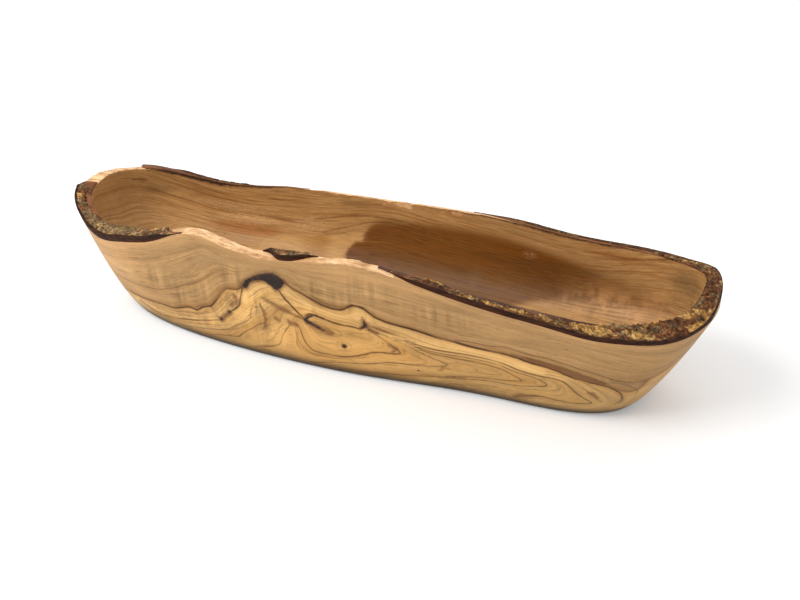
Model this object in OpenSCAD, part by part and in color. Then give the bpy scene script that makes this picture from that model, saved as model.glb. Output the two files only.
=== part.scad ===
// Long narrow dough bowl, carved from half an olive log with the bark side up.
// The top of its wall is the log's own surface, so the rim rises and falls with the log.
// X runs along the bowl, -Y is the near side in the photo and Z is up. The origin is the
// middle of the flat underside. Sizes are in millimetres and angles in degrees.

/* [Bowl] */
// Overall length, measured over the rims of the two ends
bowl_l = 420; // [400:2:440]
// Overall width, measured over the two side rims
bowl_w = 120; // [110:1:130]
// Length of the flat underside
base_l = 340; // [300:2:360]
// Width of the flat underside
base_w = 100; // [70:1:100]
// How square the rim is in plan, where 2 is an ellipse
rim_square = 3.6; // [2.4:0.1:4.2]
// How square the underside is in plan
base_square = 3; // [2.4:0.1:4.2]
// How far the underside is off centre, towards the right-hand end
base_shift = -1; // [-8:1:8]
// Height at which the left-hand end reaches the overall length
left_h = 78; // [68:1:88]
// Height at which the right-hand end reaches the overall length
right_h = 72; // [68:1:88]
// Height at which the sides reach the overall width
side_h = 70; // [60:1:80]
// Bulge of the left-hand end wall, where 1 is a straight slope and less is rounder
left_bulge = 0.67; // [0.5:0.01:1]
// Bulge of the right-hand end wall
right_bulge = 0.74; // [0.5:0.01:1]
// Bulge of the side walls
side_bulge = 0.46; // [0.4:0.01:1]
// How much the far corner of the left-hand end is cut back at the rim
left_trim = 2.5; // [0:0.5:6]
// How much the far corner of the right-hand end is cut back at the rim
right_trim = 5; // [0:0.5:6]

/* [Trough] */
// Thickness of the floor
floor_t = 12; // [8:1:20]
// Wall at the rim along the sides
side_wall = 6.5; // [6:0.5:12]
// Wall at the rim across the ends
end_wall = 10.5; // [7:0.5:14]
// How square the trough's edge is in plan
trough_square = 2.9; // [2.4:0.1:4.2]
// How full the trough is in section, where 2 is an ellipse and more is boxier
trough_full = 3.2; // [2.2:0.1:4.5]

/* [Log] */
// Radius of the log across the bowl
log_r = 130; // [90:1:200]
// Height of the log's crest over the left-hand end
crest_left = 75.5; // [65:0.5:90]
// Height of the log's crest over the right-hand end
crest_right = 78.5; // [65:0.5:90]
// How much the swellings keep to the log's flanks, where 0 spreads them to the crest
flank_hold = 1.6; // [1:0.1:5]

/* [Bark] */
// Thickness of all the bark on the near side
near_bark_t = 4; // [3:0.2:8]
// Thickness of all the bark on the far side
far_bark_t = 2; // [1.6:0.2:5]
// Share of the bark that is smooth inner bark
inner_share = 0.45; // [0.2:0.05:0.6]

/* [Detail] */
// Stations along each side
side_steps = 52; // [24:2:60]
// Stations across each end
end_steps = 24; // [12:2:28]
// Levels up the outer wall
wall_levels = 9; // [5:1:12]
// Levels down the trough's wall
trough_levels = 9; // [5:1:12]

/* [Hidden] */
// Swellings and dips of the log's near flank, each [place along X, rise, reach]
NEAR_SWELLINGS = [
    [-186, -21, 29],    // dip at the left corner
    [-95, 19, 30],      // swelling over the knot
    [-55, 5, 26],
    [12, 21, 60],       // broad swelling of the middle
    [91, 5, 47],
    [150, -3, 19],
    [209, -20, 43]      // fall towards the right corner
];
// The same for the far flank
FAR_SWELLINGS = [
    [-208, -8, 10],     // worn corner of the left end, bare of bark
    [-137, -7.5, 40],
    [-60, 1.5, 40],
    [37, 6, 80],
    [112, -2, 34],
    [196, -3, 24]       // fall towards the right corner
];
// Hollow low on the near wall: [place along X, depth, reach]
WAIST = [85, 10, 65];
// Columns across the rim, from the outer edge to the trough's edge
RIM_COLS = 4;
// Columns of the rim that the bark crust covers; past them the inner bark shows
CRUST_COLS = 3;

// First and last place of each stretch of bark. Places go round the rim seen from above:
// 0 to 1 along the near side from the left, 1 to 2 across the right end, 2 to 3 back along
// the far side, 3 to 4 across the left end and from 4 along the near side again.
NEAR_BARK = [0.39, 0.48];
RIGHT_BARK = [0.58, 2.39];
FAR_BARK = [2.69, 3.2];
LEFT_BARK = [3.58, 4.25];

// Stations all round the bowl
STATIONS = 2 * (side_steps + end_steps);

// ---- helpers ----

function lerp(a, b, t) = a + (b - a) * t;
function clamp(v, low, high) = min(high, max(low, v));
function ease(v) = let (t = clamp(v, 0, 1)) t * t * (3 - 2 * t);
function bell(x, s) = s[1] * exp(-pow((x - s[0]) / s[2], 2));
function swell(x, list, i = 0) = i == len(list) ? 0 : bell(x, list[i]) + swell(x, list, i + 1);

// Station i as a point on the edge of a unit square: near side, right end, far side, left end
function on_square(i) =
    let (j = i % STATIONS, right = side_steps, far = right + end_steps, left = far + side_steps)
    j < right ? [-1 + 2 * j / side_steps, -1]
    : j < far ? [1, -1 + 2 * (j - right) / end_steps]
    : j < left ? [1 - 2 * (j - far) / side_steps, 1]
    : [-1, 1 - 2 * (j - left) / end_steps];

// Station nearest to a place on the rim
function station(place) =
    let (side = floor(place), steps = side % 2 == 0 ? side_steps : end_steps)
    round(
        floor(side / 2) * (side_steps + end_steps) + side % 2 * side_steps
        + (place - side) * steps
    );
function stations(places) = [station(places[0]), station(places[1])];

// Station i on a rounded rectangle with half sizes a and b and squareness n
function rounded(i, a, b, n) =
    let (q = on_square(i), r = pow(pow(abs(q.x), n) + pow(abs(q.y), n), 1 / n))
    [a * q.x / r, b * q.y / r];

// ---- the surfaces of the bowl ----

// Outer wall at station i and height z, sanded smooth through wood and bark alike
function wall_at(i, z) =
    let (
        low = clamp(1 - z / side_h, 0, 1),
        flare = lerp(
            pow(min(1, z / left_h), left_bulge), pow(min(1, z / right_h), right_bulge),
            on_square(i).x / 2 + 0.5
        ),
        a = lerp(base_l, bowl_l, flare) / 2,
        b = lerp(base_w, bowl_w, pow(z / side_h, side_bulge)) / 2,
        p = rounded(i, a, b, lerp(rim_square, base_square, low)),
        near = max(0, -p.y / b),
        corner = ease(0.24 + 1.6 * p.y / b) * (1 - low) * pow(abs(p.x / a), 8),
        trim = corner * (p.x < 0 ? left_trim : -right_trim)
    )
    [p.x + trim + base_shift * low, p.y + bell(p.x, WAIST) * low * near, z];

// Height of the log's surface over a point of the plan
function log_z(p) =
    let (
        crest = lerp(crest_left, crest_right, p.x / bowl_l + 0.5),
        drop = log_r - sqrt(log_r * log_r - p.y * p.y),
        near = pow(max(0, -2 * p.y / bowl_w), flank_hold),
        far = pow(max(0, 2 * p.y / bowl_w), flank_hold)
    )
    crest - drop + near * swell(p.x, NEAR_SWELLINGS) + far * swell(p.x, FAR_SWELLINGS);

// Height at which the outer wall meets the log's surface, found by closing in on it
function rim_h(i, z = side_h, tries = 7) =
    tries == 0 ? z : rim_h(i, log_z(wall_at(i, z)), tries - 1);

RIM_H = [for (i = [0:STATIONS - 1]) rim_h(i)];
RIM_IN = [
    for (i = [0:STATIONS - 1])
        let (p = rounded(i, bowl_l / 2 - end_wall, bowl_w / 2 - side_wall, trough_square))
        [p.x, p.y, log_z(p)]
];

// Rim at station i and share s of its width, raised by a lift of bark
function rim_at(i, s, lift = 0) =
    let (j = i % STATIONS, p = lerp(wall_at(j, RIM_H[j] + lift), RIM_IN[j], s))
    [p.x, p.y, log_z(p) + lift];

// What puts the origin in the middle of the footprint, bark included
EDGE = [for (i = [0:STATIONS - 1]) wall_at(i, RIM_H[i] + bark_t(i))];
EDGE_X = [for (p = EDGE) p.x];
EDGE_Y = [for (p = EDGE) p.y];
CENTRE = [max(EDGE_X) + min(EDGE_X), max(EDGE_Y) + min(EDGE_Y), 0] / 2;

// Trough at station i and angle a: 0 is its edge and 90 the middle of its floor
function trough_at(i, a) =
    let (rim = RIM_IN[i], r = pow(cos(a), 2 / trough_full), d = pow(sin(a), 2 / trough_full))
    [rim.x * r, rim.y * r, lerp(rim.z, floor_t, d)];

// ---- the bark ----

// Thickness of the bark at station i, thinner on the far side
function bark_t(i) =
    lerp(near_bark_t, far_bark_t, clamp(0.5 + RIM_IN[i % STATIONS].y / bowl_w, 0, 1));

// Thins a strip from span[0] to span[1] out towards its broken ends
function taper(i, span) = clamp(0.3 + 0.35 * min(i - span[0], span[1] - i), 0.3, 1);

// Lumps of the crust: rises and hollows that never quite repeat
function lumps(i, col) = 0.8 + 0.2 * sin(83 * i + 140 * col) * cos(47 * i - 95 * col);

function inner_lift(i, span) = inner_share * bark_t(i) * taper(i, span);
function crust_lift(i, col, span) =
    inner_lift(i, span)
    + (1 - inner_share) * bark_t(i) * lumps(i, col) * taper(i, span + [1, -1])
      * (col == CRUST_COLS ? 0.5 : 1);

// ---- solids from rings of points ----

// Triangles between ring a and ring b of n points each
function band(a, b, n) = [
    for (k = [0:n - 1])
        let (m = (k + 1) % n)
        each [[a + k, b + k, b + m], [a + k, b + m, a + m]]
];

// Triangles from ring a to one point
function fan(a, n, point) = [for (k = [0:n - 1]) [a + k, point, a + (k + 1) % n]];

// Solid through a stack of rings, closed on one point below and one above
module shell(rings, bottom, top) {
    n = len(rings[0]);
    count = len(rings);
    points = concat([for (r = rings) each r], [bottom, top]);
    faces = concat(
        [for (r = [0:count - 2]) each band(r * n, (r + 1) * n, n)],
        [for (f = fan(0, n, n * count)) [f[2], f[1], f[0]]],
        fan((count - 1) * n, n, n * count + 1)
    );
    translate(-CENTRE) polyhedron(points = points, faces = faces, convexity = 8);
}

// Strip of bark over a span of stations and the first columns of the rim.
// Its underside has the very points of what it lies on.
module strip(span, cols, low_lift, high_lift) {
    function section(i) = concat(
        [for (c = [0:cols]) rim_at(i, c / RIM_COLS, low_lift(i, c))],
        [for (c = [cols:-1:0]) rim_at(i, c / RIM_COLS, high_lift(i, c))]
    );
    n = 2 * (cols + 1);
    count = span[1] - span[0] + 1;
    points = [for (i = [span[0]:span[1]]) each section(i)];
    faces = concat(
        [for (k = [0:count - 2]) each band(k * n, (k + 1) * n, n)],
        cap(0, cols, n),
        [for (f = cap((count - 1) * n, cols, n)) [f[2], f[1], f[0]]]
    );
    translate(-CENTRE) polyhedron(points = points, faces = faces, convexity = 4);
}

// End of a strip, as columns of two triangles between its underside and its top
function cap(a, cols, n) = [
    for (c = [0:cols - 1])
        each [
            [a + c, a + c + 1, a + n - 2 - c],
            [a + c, a + n - 2 - c, a + n - 1 - c]
        ]
];

module inner_bark(span) {
    color([0.42, 0.25, 0.16])
        strip(span, RIM_COLS, function(i, c) 0, function(i, c) inner_lift(i, span));
}

module bark_crust(span) {
    color([0.52, 0.47, 0.38])
        strip(
            span + [1, -1], CRUST_COLS,
            function(i, c) inner_lift(i, span),
            function(i, c) crust_lift(i, c, span)
        );
}

// ---- sub-parts ----

module bowl_body() {
    color([0.80, 0.62, 0.40])
        shell(
            concat(
                [
                    for (k = [0:wall_levels - 1])
                        let (u = pow(k / wall_levels, 1.7))
                        [for (i = [0:STATIONS - 1]) wall_at(i, RIM_H[i] * u)]
                ],
                [
                    for (c = [0:RIM_COLS])
                        [for (i = [0:STATIONS - 1]) rim_at(i, c / RIM_COLS)]
                ],
                [
                    for (k = [1:trough_levels - 1])
                        [for (i = [0:STATIONS - 1]) trough_at(i, 90 * k / trough_levels)]
                ]
            ),
            bottom = [0, 0, 0],
            top = [0, 0, floor_t]
        );
}

module left_inner_bark() inner_bark(stations(LEFT_BARK));
module left_bark_crust() bark_crust(stations(LEFT_BARK));
module near_inner_bark() inner_bark(stations(NEAR_BARK));
module near_bark_crust() bark_crust(stations(NEAR_BARK));
module right_inner_bark() inner_bark(stations(RIGHT_BARK));
module right_bark_crust() bark_crust(stations(RIGHT_BARK));
module far_inner_bark() inner_bark(stations(FAR_BARK));
module far_bark_crust() bark_crust(stations(FAR_BARK));

bowl_body();
left_inner_bark();
left_bark_crust();
near_inner_bark();
near_bark_crust();
right_inner_bark();
right_bark_crust();
far_inner_bark();
far_bark_crust();
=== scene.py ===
# Looks of the dough bowl: a fine mesh of the carved body with its grain, and rough bark
# on the rim. Lengths in the shape functions are millimetres, as in the CAD source.
import math
from functools import cached_property
from types import SimpleNamespace

import bpy
import numpy as np
from mathutils import Matrix, Vector


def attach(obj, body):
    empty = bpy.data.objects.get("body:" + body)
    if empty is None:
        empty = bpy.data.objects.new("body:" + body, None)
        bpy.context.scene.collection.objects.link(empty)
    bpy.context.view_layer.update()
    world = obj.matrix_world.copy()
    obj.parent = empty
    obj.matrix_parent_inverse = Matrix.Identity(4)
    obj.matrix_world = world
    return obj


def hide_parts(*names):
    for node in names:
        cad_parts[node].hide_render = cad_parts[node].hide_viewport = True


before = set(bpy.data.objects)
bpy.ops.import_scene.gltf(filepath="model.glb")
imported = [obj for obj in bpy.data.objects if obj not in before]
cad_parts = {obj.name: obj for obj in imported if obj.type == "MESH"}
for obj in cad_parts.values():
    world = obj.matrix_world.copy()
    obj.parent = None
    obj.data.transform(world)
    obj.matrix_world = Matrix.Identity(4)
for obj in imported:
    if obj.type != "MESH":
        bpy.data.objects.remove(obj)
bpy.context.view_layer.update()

# ---------------------------------------------------------------- sizes, as in the CAD
BOWL_L, BOWL_W, BASE_L, BASE_W = 420.0, 120.0, 340.0, 100.0
RIM_SQUARE, BASE_SQUARE, BASE_SHIFT = 3.6, 3.0, -1.0
LEFT_H, RIGHT_H, SIDE_H = 78.0, 72.0, 70.0
LEFT_BULGE, RIGHT_BULGE, SIDE_BULGE = 0.67, 0.74, 0.46
LEFT_TRIM, RIGHT_TRIM = 2.5, 5.0
FLOOR_T, SIDE_WALL, END_WALL = 12.0, 6.5, 10.5
TROUGH_SQUARE, TROUGH_FULL = 2.9, 3.2
LOG_R, CREST_LEFT, CREST_RIGHT, FLANK_HOLD = 130.0, 75.5, 78.5, 1.6
NEAR_BARK_T, FAR_BARK_T, INNER_SHARE = 4.0, 2.0, 0.45
NEAR_SWELLINGS = [
    (-186, -21, 29), (-95, 19, 30), (-55, 5, 26), (12, 21, 60), (91, 5, 47),
    (150, -3, 19), (209, -20, 43),
]
FAR_SWELLINGS = [
    (-208, -8, 10), (-137, -7.5, 40), (-60, 1.5, 40), (37, 6, 80), (112, -2, 34), (196, -3, 24),
]
WAIST = (85, 10, 65)
NEAR_BARK, RIGHT_BARK = (0.39, 0.48), (0.58, 2.39)
FAR_BARK, LEFT_BARK = (2.69, 3.2), (3.58, 4.25)
# The frame's origin, and a millimetre in its metres
CENTRE, MM = np.array([0.0, -0.53, 0.0]), 0.001

# The finer mesh: millimetres between stations on the near, end and far rim, and rings
NEAR_STEP, END_STEP, FAR_STEP = 1.15, 1.9, 2.3
WALL_RINGS, RIM_RINGS, TROUGH_RINGS = 69, 9, 59
# The soft edge of the rim, under bark and where it is bare
BARKED_EDGE, BARE_EDGE = 0.06, 0.9
# The bark's stations on the near and far side, and the width of rim its noise runs over
BARK_STEP, FAR_BARK_STEP, RIM_SPAN = 0.7, 0.9, 8.5


# ---------------------------------------------------------------- small helpers
def smooth(low, high, v):
    t = np.clip((np.asarray(v, float) - low) / (high - low), 0, 1)
    return t * t * (3 - 2 * t)


def mixed(a, b, t):
    return a + (b - a) * t


def bell(x, s):
    return s[1] * np.exp(-(((x - s[0]) / s[2]) ** 2))


def hashed(i, j, k, seed):
    h = (i * 73856093) ^ (j * 19349663) ^ (k * 83492791) ^ (seed * 1013904223)
    h = (h ^ (h >> 13)) * 1274126177
    h = (h ^ (h >> 15)) * 668265263
    return ((h >> 7) & 0xFFFF) / 32767.5 - 1.0


def soft_noise(p, seed=0):
    """Smooth noise from -1 to 1 at points p of shape (..., 3)."""
    c = np.floor(p).astype(np.int64)
    f = p - c
    f = f * f * (3 - 2 * f)
    out = np.zeros(p.shape[:-1])
    for step in np.ndindex(2, 2, 2):
        weight = np.prod([f[..., k] if far else 1 - f[..., k] for k, far in enumerate(step)], axis=0)
        out += weight * hashed(*(c[..., k] + far for k, far in enumerate(step)), seed)
    return out


def fractal(p, octaves=4, seed=0, gain=0.5):
    out, size = 0.0, 1.0
    for o in range(octaves):
        out = out + size * soft_noise(p * 2.0**o + 13.7 * o, seed + o)
        size *= gain
    return out


def flakes(p, seed=0):
    """Cells: how near a cell's border is, and a number per cell."""
    c = np.floor(p).astype(np.int64)
    first = np.full(p.shape[:-1], 9.0)
    second = first.copy()
    number = np.zeros(p.shape[:-1])
    for step in np.ndindex(3, 3, 3):
        cell = [c[..., k] + step[k] - 1 for k in range(3)]
        at = np.stack([cell[k] + 0.5 + 0.45 * hashed(*cell, seed + k) for k in range(3)], -1)
        d = np.sqrt(((p - at) ** 2).sum(-1))
        closer = d < first
        second = np.where(closer, first, np.minimum(second, d))
        number = np.where(closer, hashed(*cell, seed + 3), number)
        first = np.where(closer, d, first)
    return second - first, number


# ---------------------------------------------------------------- the surfaces of the bowl
def on_square(place):
    """A place on the rim, from 0 to 4 counted from the near left corner, on a square."""
    place = np.asarray(place, float) % 4
    side = np.floor(place)
    t = place - side
    x = np.select([side == 0, side == 1, side == 2], [2 * t - 1, 1, 1 - 2 * t], -1.0)
    y = np.select([side == 0, side == 1, side == 2], [-1, 2 * t - 1, 1], 1 - 2 * t)
    return np.stack([x, y], -1)


def rounded(q, a, b, n):
    r = (np.abs(q[..., 0]) ** n + np.abs(q[..., 1]) ** n) ** (1 / n)
    return a * q[..., 0] / r, b * q[..., 1] / r


def wall_at(q, z):
    """The outer wall at a height z, on the side that q on the square points to."""
    low = np.clip(1 - z / SIDE_H, 0, 1)
    left = np.minimum(1, z / LEFT_H) ** LEFT_BULGE
    right = np.minimum(1, z / RIGHT_H) ** RIGHT_BULGE
    a = mixed(BASE_L, BOWL_L, mixed(left, right, q[..., 0] / 2 + 0.5)) / 2
    b = mixed(BASE_W, BOWL_W, (z / SIDE_H) ** SIDE_BULGE) / 2
    x, y = rounded(q, a, b, mixed(RIM_SQUARE, BASE_SQUARE, low))
    near = np.maximum(0, -y / b)
    corner = smooth(0, 1, 0.24 + 1.6 * y / b) * (1 - low) * np.abs(x / a) ** 8
    trim = corner * np.where(x < 0, LEFT_TRIM, -RIGHT_TRIM)
    return np.stack([x + trim + BASE_SHIFT * low, y + bell(x, WAIST) * low * near, z + 0 * x], -1)


def crest(x):
    return mixed(CREST_LEFT, CREST_RIGHT, x / BOWL_L + 0.5)


def log_z(x, y):
    drop = LOG_R - np.sqrt(LOG_R * LOG_R - y * y)
    near = np.maximum(0, -2 * y / BOWL_W) ** FLANK_HOLD
    far = np.maximum(0, 2 * y / BOWL_W) ** FLANK_HOLD
    up = near * sum(bell(x, s) for s in NEAR_SWELLINGS)
    return crest(x) - drop + up + far * sum(bell(x, s) for s in FAR_SWELLINGS)


def rim_height(q):
    z = np.full(q.shape[:-1], SIDE_H)
    for _ in range(8):
        p = wall_at(q, z)
        z = log_z(p[..., 0], p[..., 1])
    return z


def rim_inside(q):
    x, y = rounded(q, BOWL_L / 2 - END_WALL, BOWL_W / 2 - SIDE_WALL, TROUGH_SQUARE)
    return np.stack([x, y, log_z(x, y)], -1)


def rim_at(q, height, inside, s, lift=0.0):
    """Points at a share s of the rim's width, from its outer edge, lifted off the wood."""
    x, y, _ = mixed(wall_at(q, height + lift), inside, s[:, None]).T
    return np.stack([x, y, log_z(x, y) + lift], -1)


def trough_at(inside, r, d):
    """The trough's surface at a share r of its width and d of its depth."""
    x, y, z = inside.T
    return np.stack([x * r, y * r, mixed(z, FLOOR_T, d)], -1)


def bark_thickness(inside):
    t = np.clip(0.5 + inside[..., 1] / BOWL_W, 0, 1)
    return mixed(NEAR_BARK_T, FAR_BARK_T, t)


def spread(start, end, spacing):
    """Places from start to end, the given distance apart along the rim. spacing(y) may
    depend on the side of the bowl."""
    fine = np.linspace(start, end, 6000)
    q = on_square(fine)
    p = wall_at(q, rim_height(q))
    step = np.linalg.norm(np.diff(p, axis=0), axis=1)
    weight = step / spacing((p[1:, 1] + p[:-1, 1]) / 2)
    along = np.concatenate([[0], np.cumsum(weight)])
    count = max(8, int(round(along[-1])))
    return np.interp(np.linspace(0, along[-1], count + 1), along, fine)


def barked(place):
    """1 where bark lies on the rim, 0 where the rim is bare."""
    out = np.zeros_like(place)
    for a, b in (NEAR_BARK, RIGHT_BARK, FAR_BARK, LEFT_BARK):
        for turn in (0, 4):
            p = place + turn
            out = np.maximum(out, smooth(a, a + 0.02, p) * (1 - smooth(b - 0.02, b, p)))
    return out


# ---------------------------------------------------------------- making a mesh
def corner_uvs(*corners):
    """The UV places of many like faces, from the places of their corners."""
    return np.stack([np.stack(np.broadcast_arrays(u, v), -1) for u, v in corners], 1).reshape(-1, 2)


def make_mesh(name, rings, values, tips=()):
    """A surface through closed rings of points (ring, station, 3) in millimetres. Both ends are
    flat, or fans round the tips where these are given. values are numbers per vertex. The UV
    map follows the rings, for the bake."""
    count, n = rings.shape[:2]
    k = np.arange(n)
    after = (k + 1) % n
    left, right = k / n, (k + 1) / n
    row = np.arange(count - 1)[:, None] * n
    quads = np.stack([row + k, row + after, row + n + after, row + n + k], -1)
    faces, sizes = [quads.ravel()], [4] * (count - 1) * n
    low = np.repeat(np.arange(1, count) / (count + 1), n)
    high = low + 1 / (count + 1)
    sides = np.tile(left, count - 1), np.tile(right, count - 1)
    uv = [corner_uvs((sides[0], low), (sides[1], low), (sides[1], high), (sides[0], high))]
    for end, ring in enumerate((0, count - 1)):
        turned = slice(None) if end else slice(None, None, -1)
        if tips:
            fan = [(ring * n + k, left), (ring * n + after, right)][turned]
            faces.append(np.stack([fan[0][0], fan[1][0], np.full(n, count * n + end)], -1).ravel())
            sizes += [3] * n
            v = (ring + 1) / (count + 1)
            uv.append(corner_uvs((fan[0][1], v), (fan[1][1], v), ((k + 0.5) / n, float(end))))
        else:
            faces.append(ring * n + k[turned])
            sizes.append(n)
            uv.append(np.stack([np.full(n, float(end)), k[turned] / n], -1))
    points = np.concatenate([rings.reshape(-1, 3), np.reshape(tips, (-1, 3))])
    faces = np.concatenate(faces).astype(np.int32)
    mesh = bpy.data.meshes.new(name)
    mesh.vertices.add(len(points))
    mesh.vertices.foreach_set("co", ((points - CENTRE) * MM).ravel())
    mesh.loops.add(len(faces))
    mesh.loops.foreach_set("vertex_index", faces)
    mesh.polygons.add(len(sizes))
    mesh.polygons.foreach_set("loop_start", np.cumsum([0] + sizes[:-1]).astype(np.int32))
    mesh.polygons.foreach_set("loop_total", np.array(sizes, np.int32))
    mesh.update(calc_edges=True)
    mesh.uv_layers.new(name="OFBake").data.foreach_set("uv", np.concatenate(uv).ravel())
    for key, value in values.items():
        value = value.ravel()
        if tips:
            value = np.append(value, [value[0], value[-1]])
        mesh.attributes.new(key, "FLOAT", "POINT").data.foreach_set("value", value.astype(np.float32))
    mesh.validate()
    mesh.polygons.foreach_set("use_smooth", [True] * len(mesh.polygons))
    piece = bpy.data.objects.new(name, mesh)
    bpy.context.scene.collection.objects.link(piece)
    return piece


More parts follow.
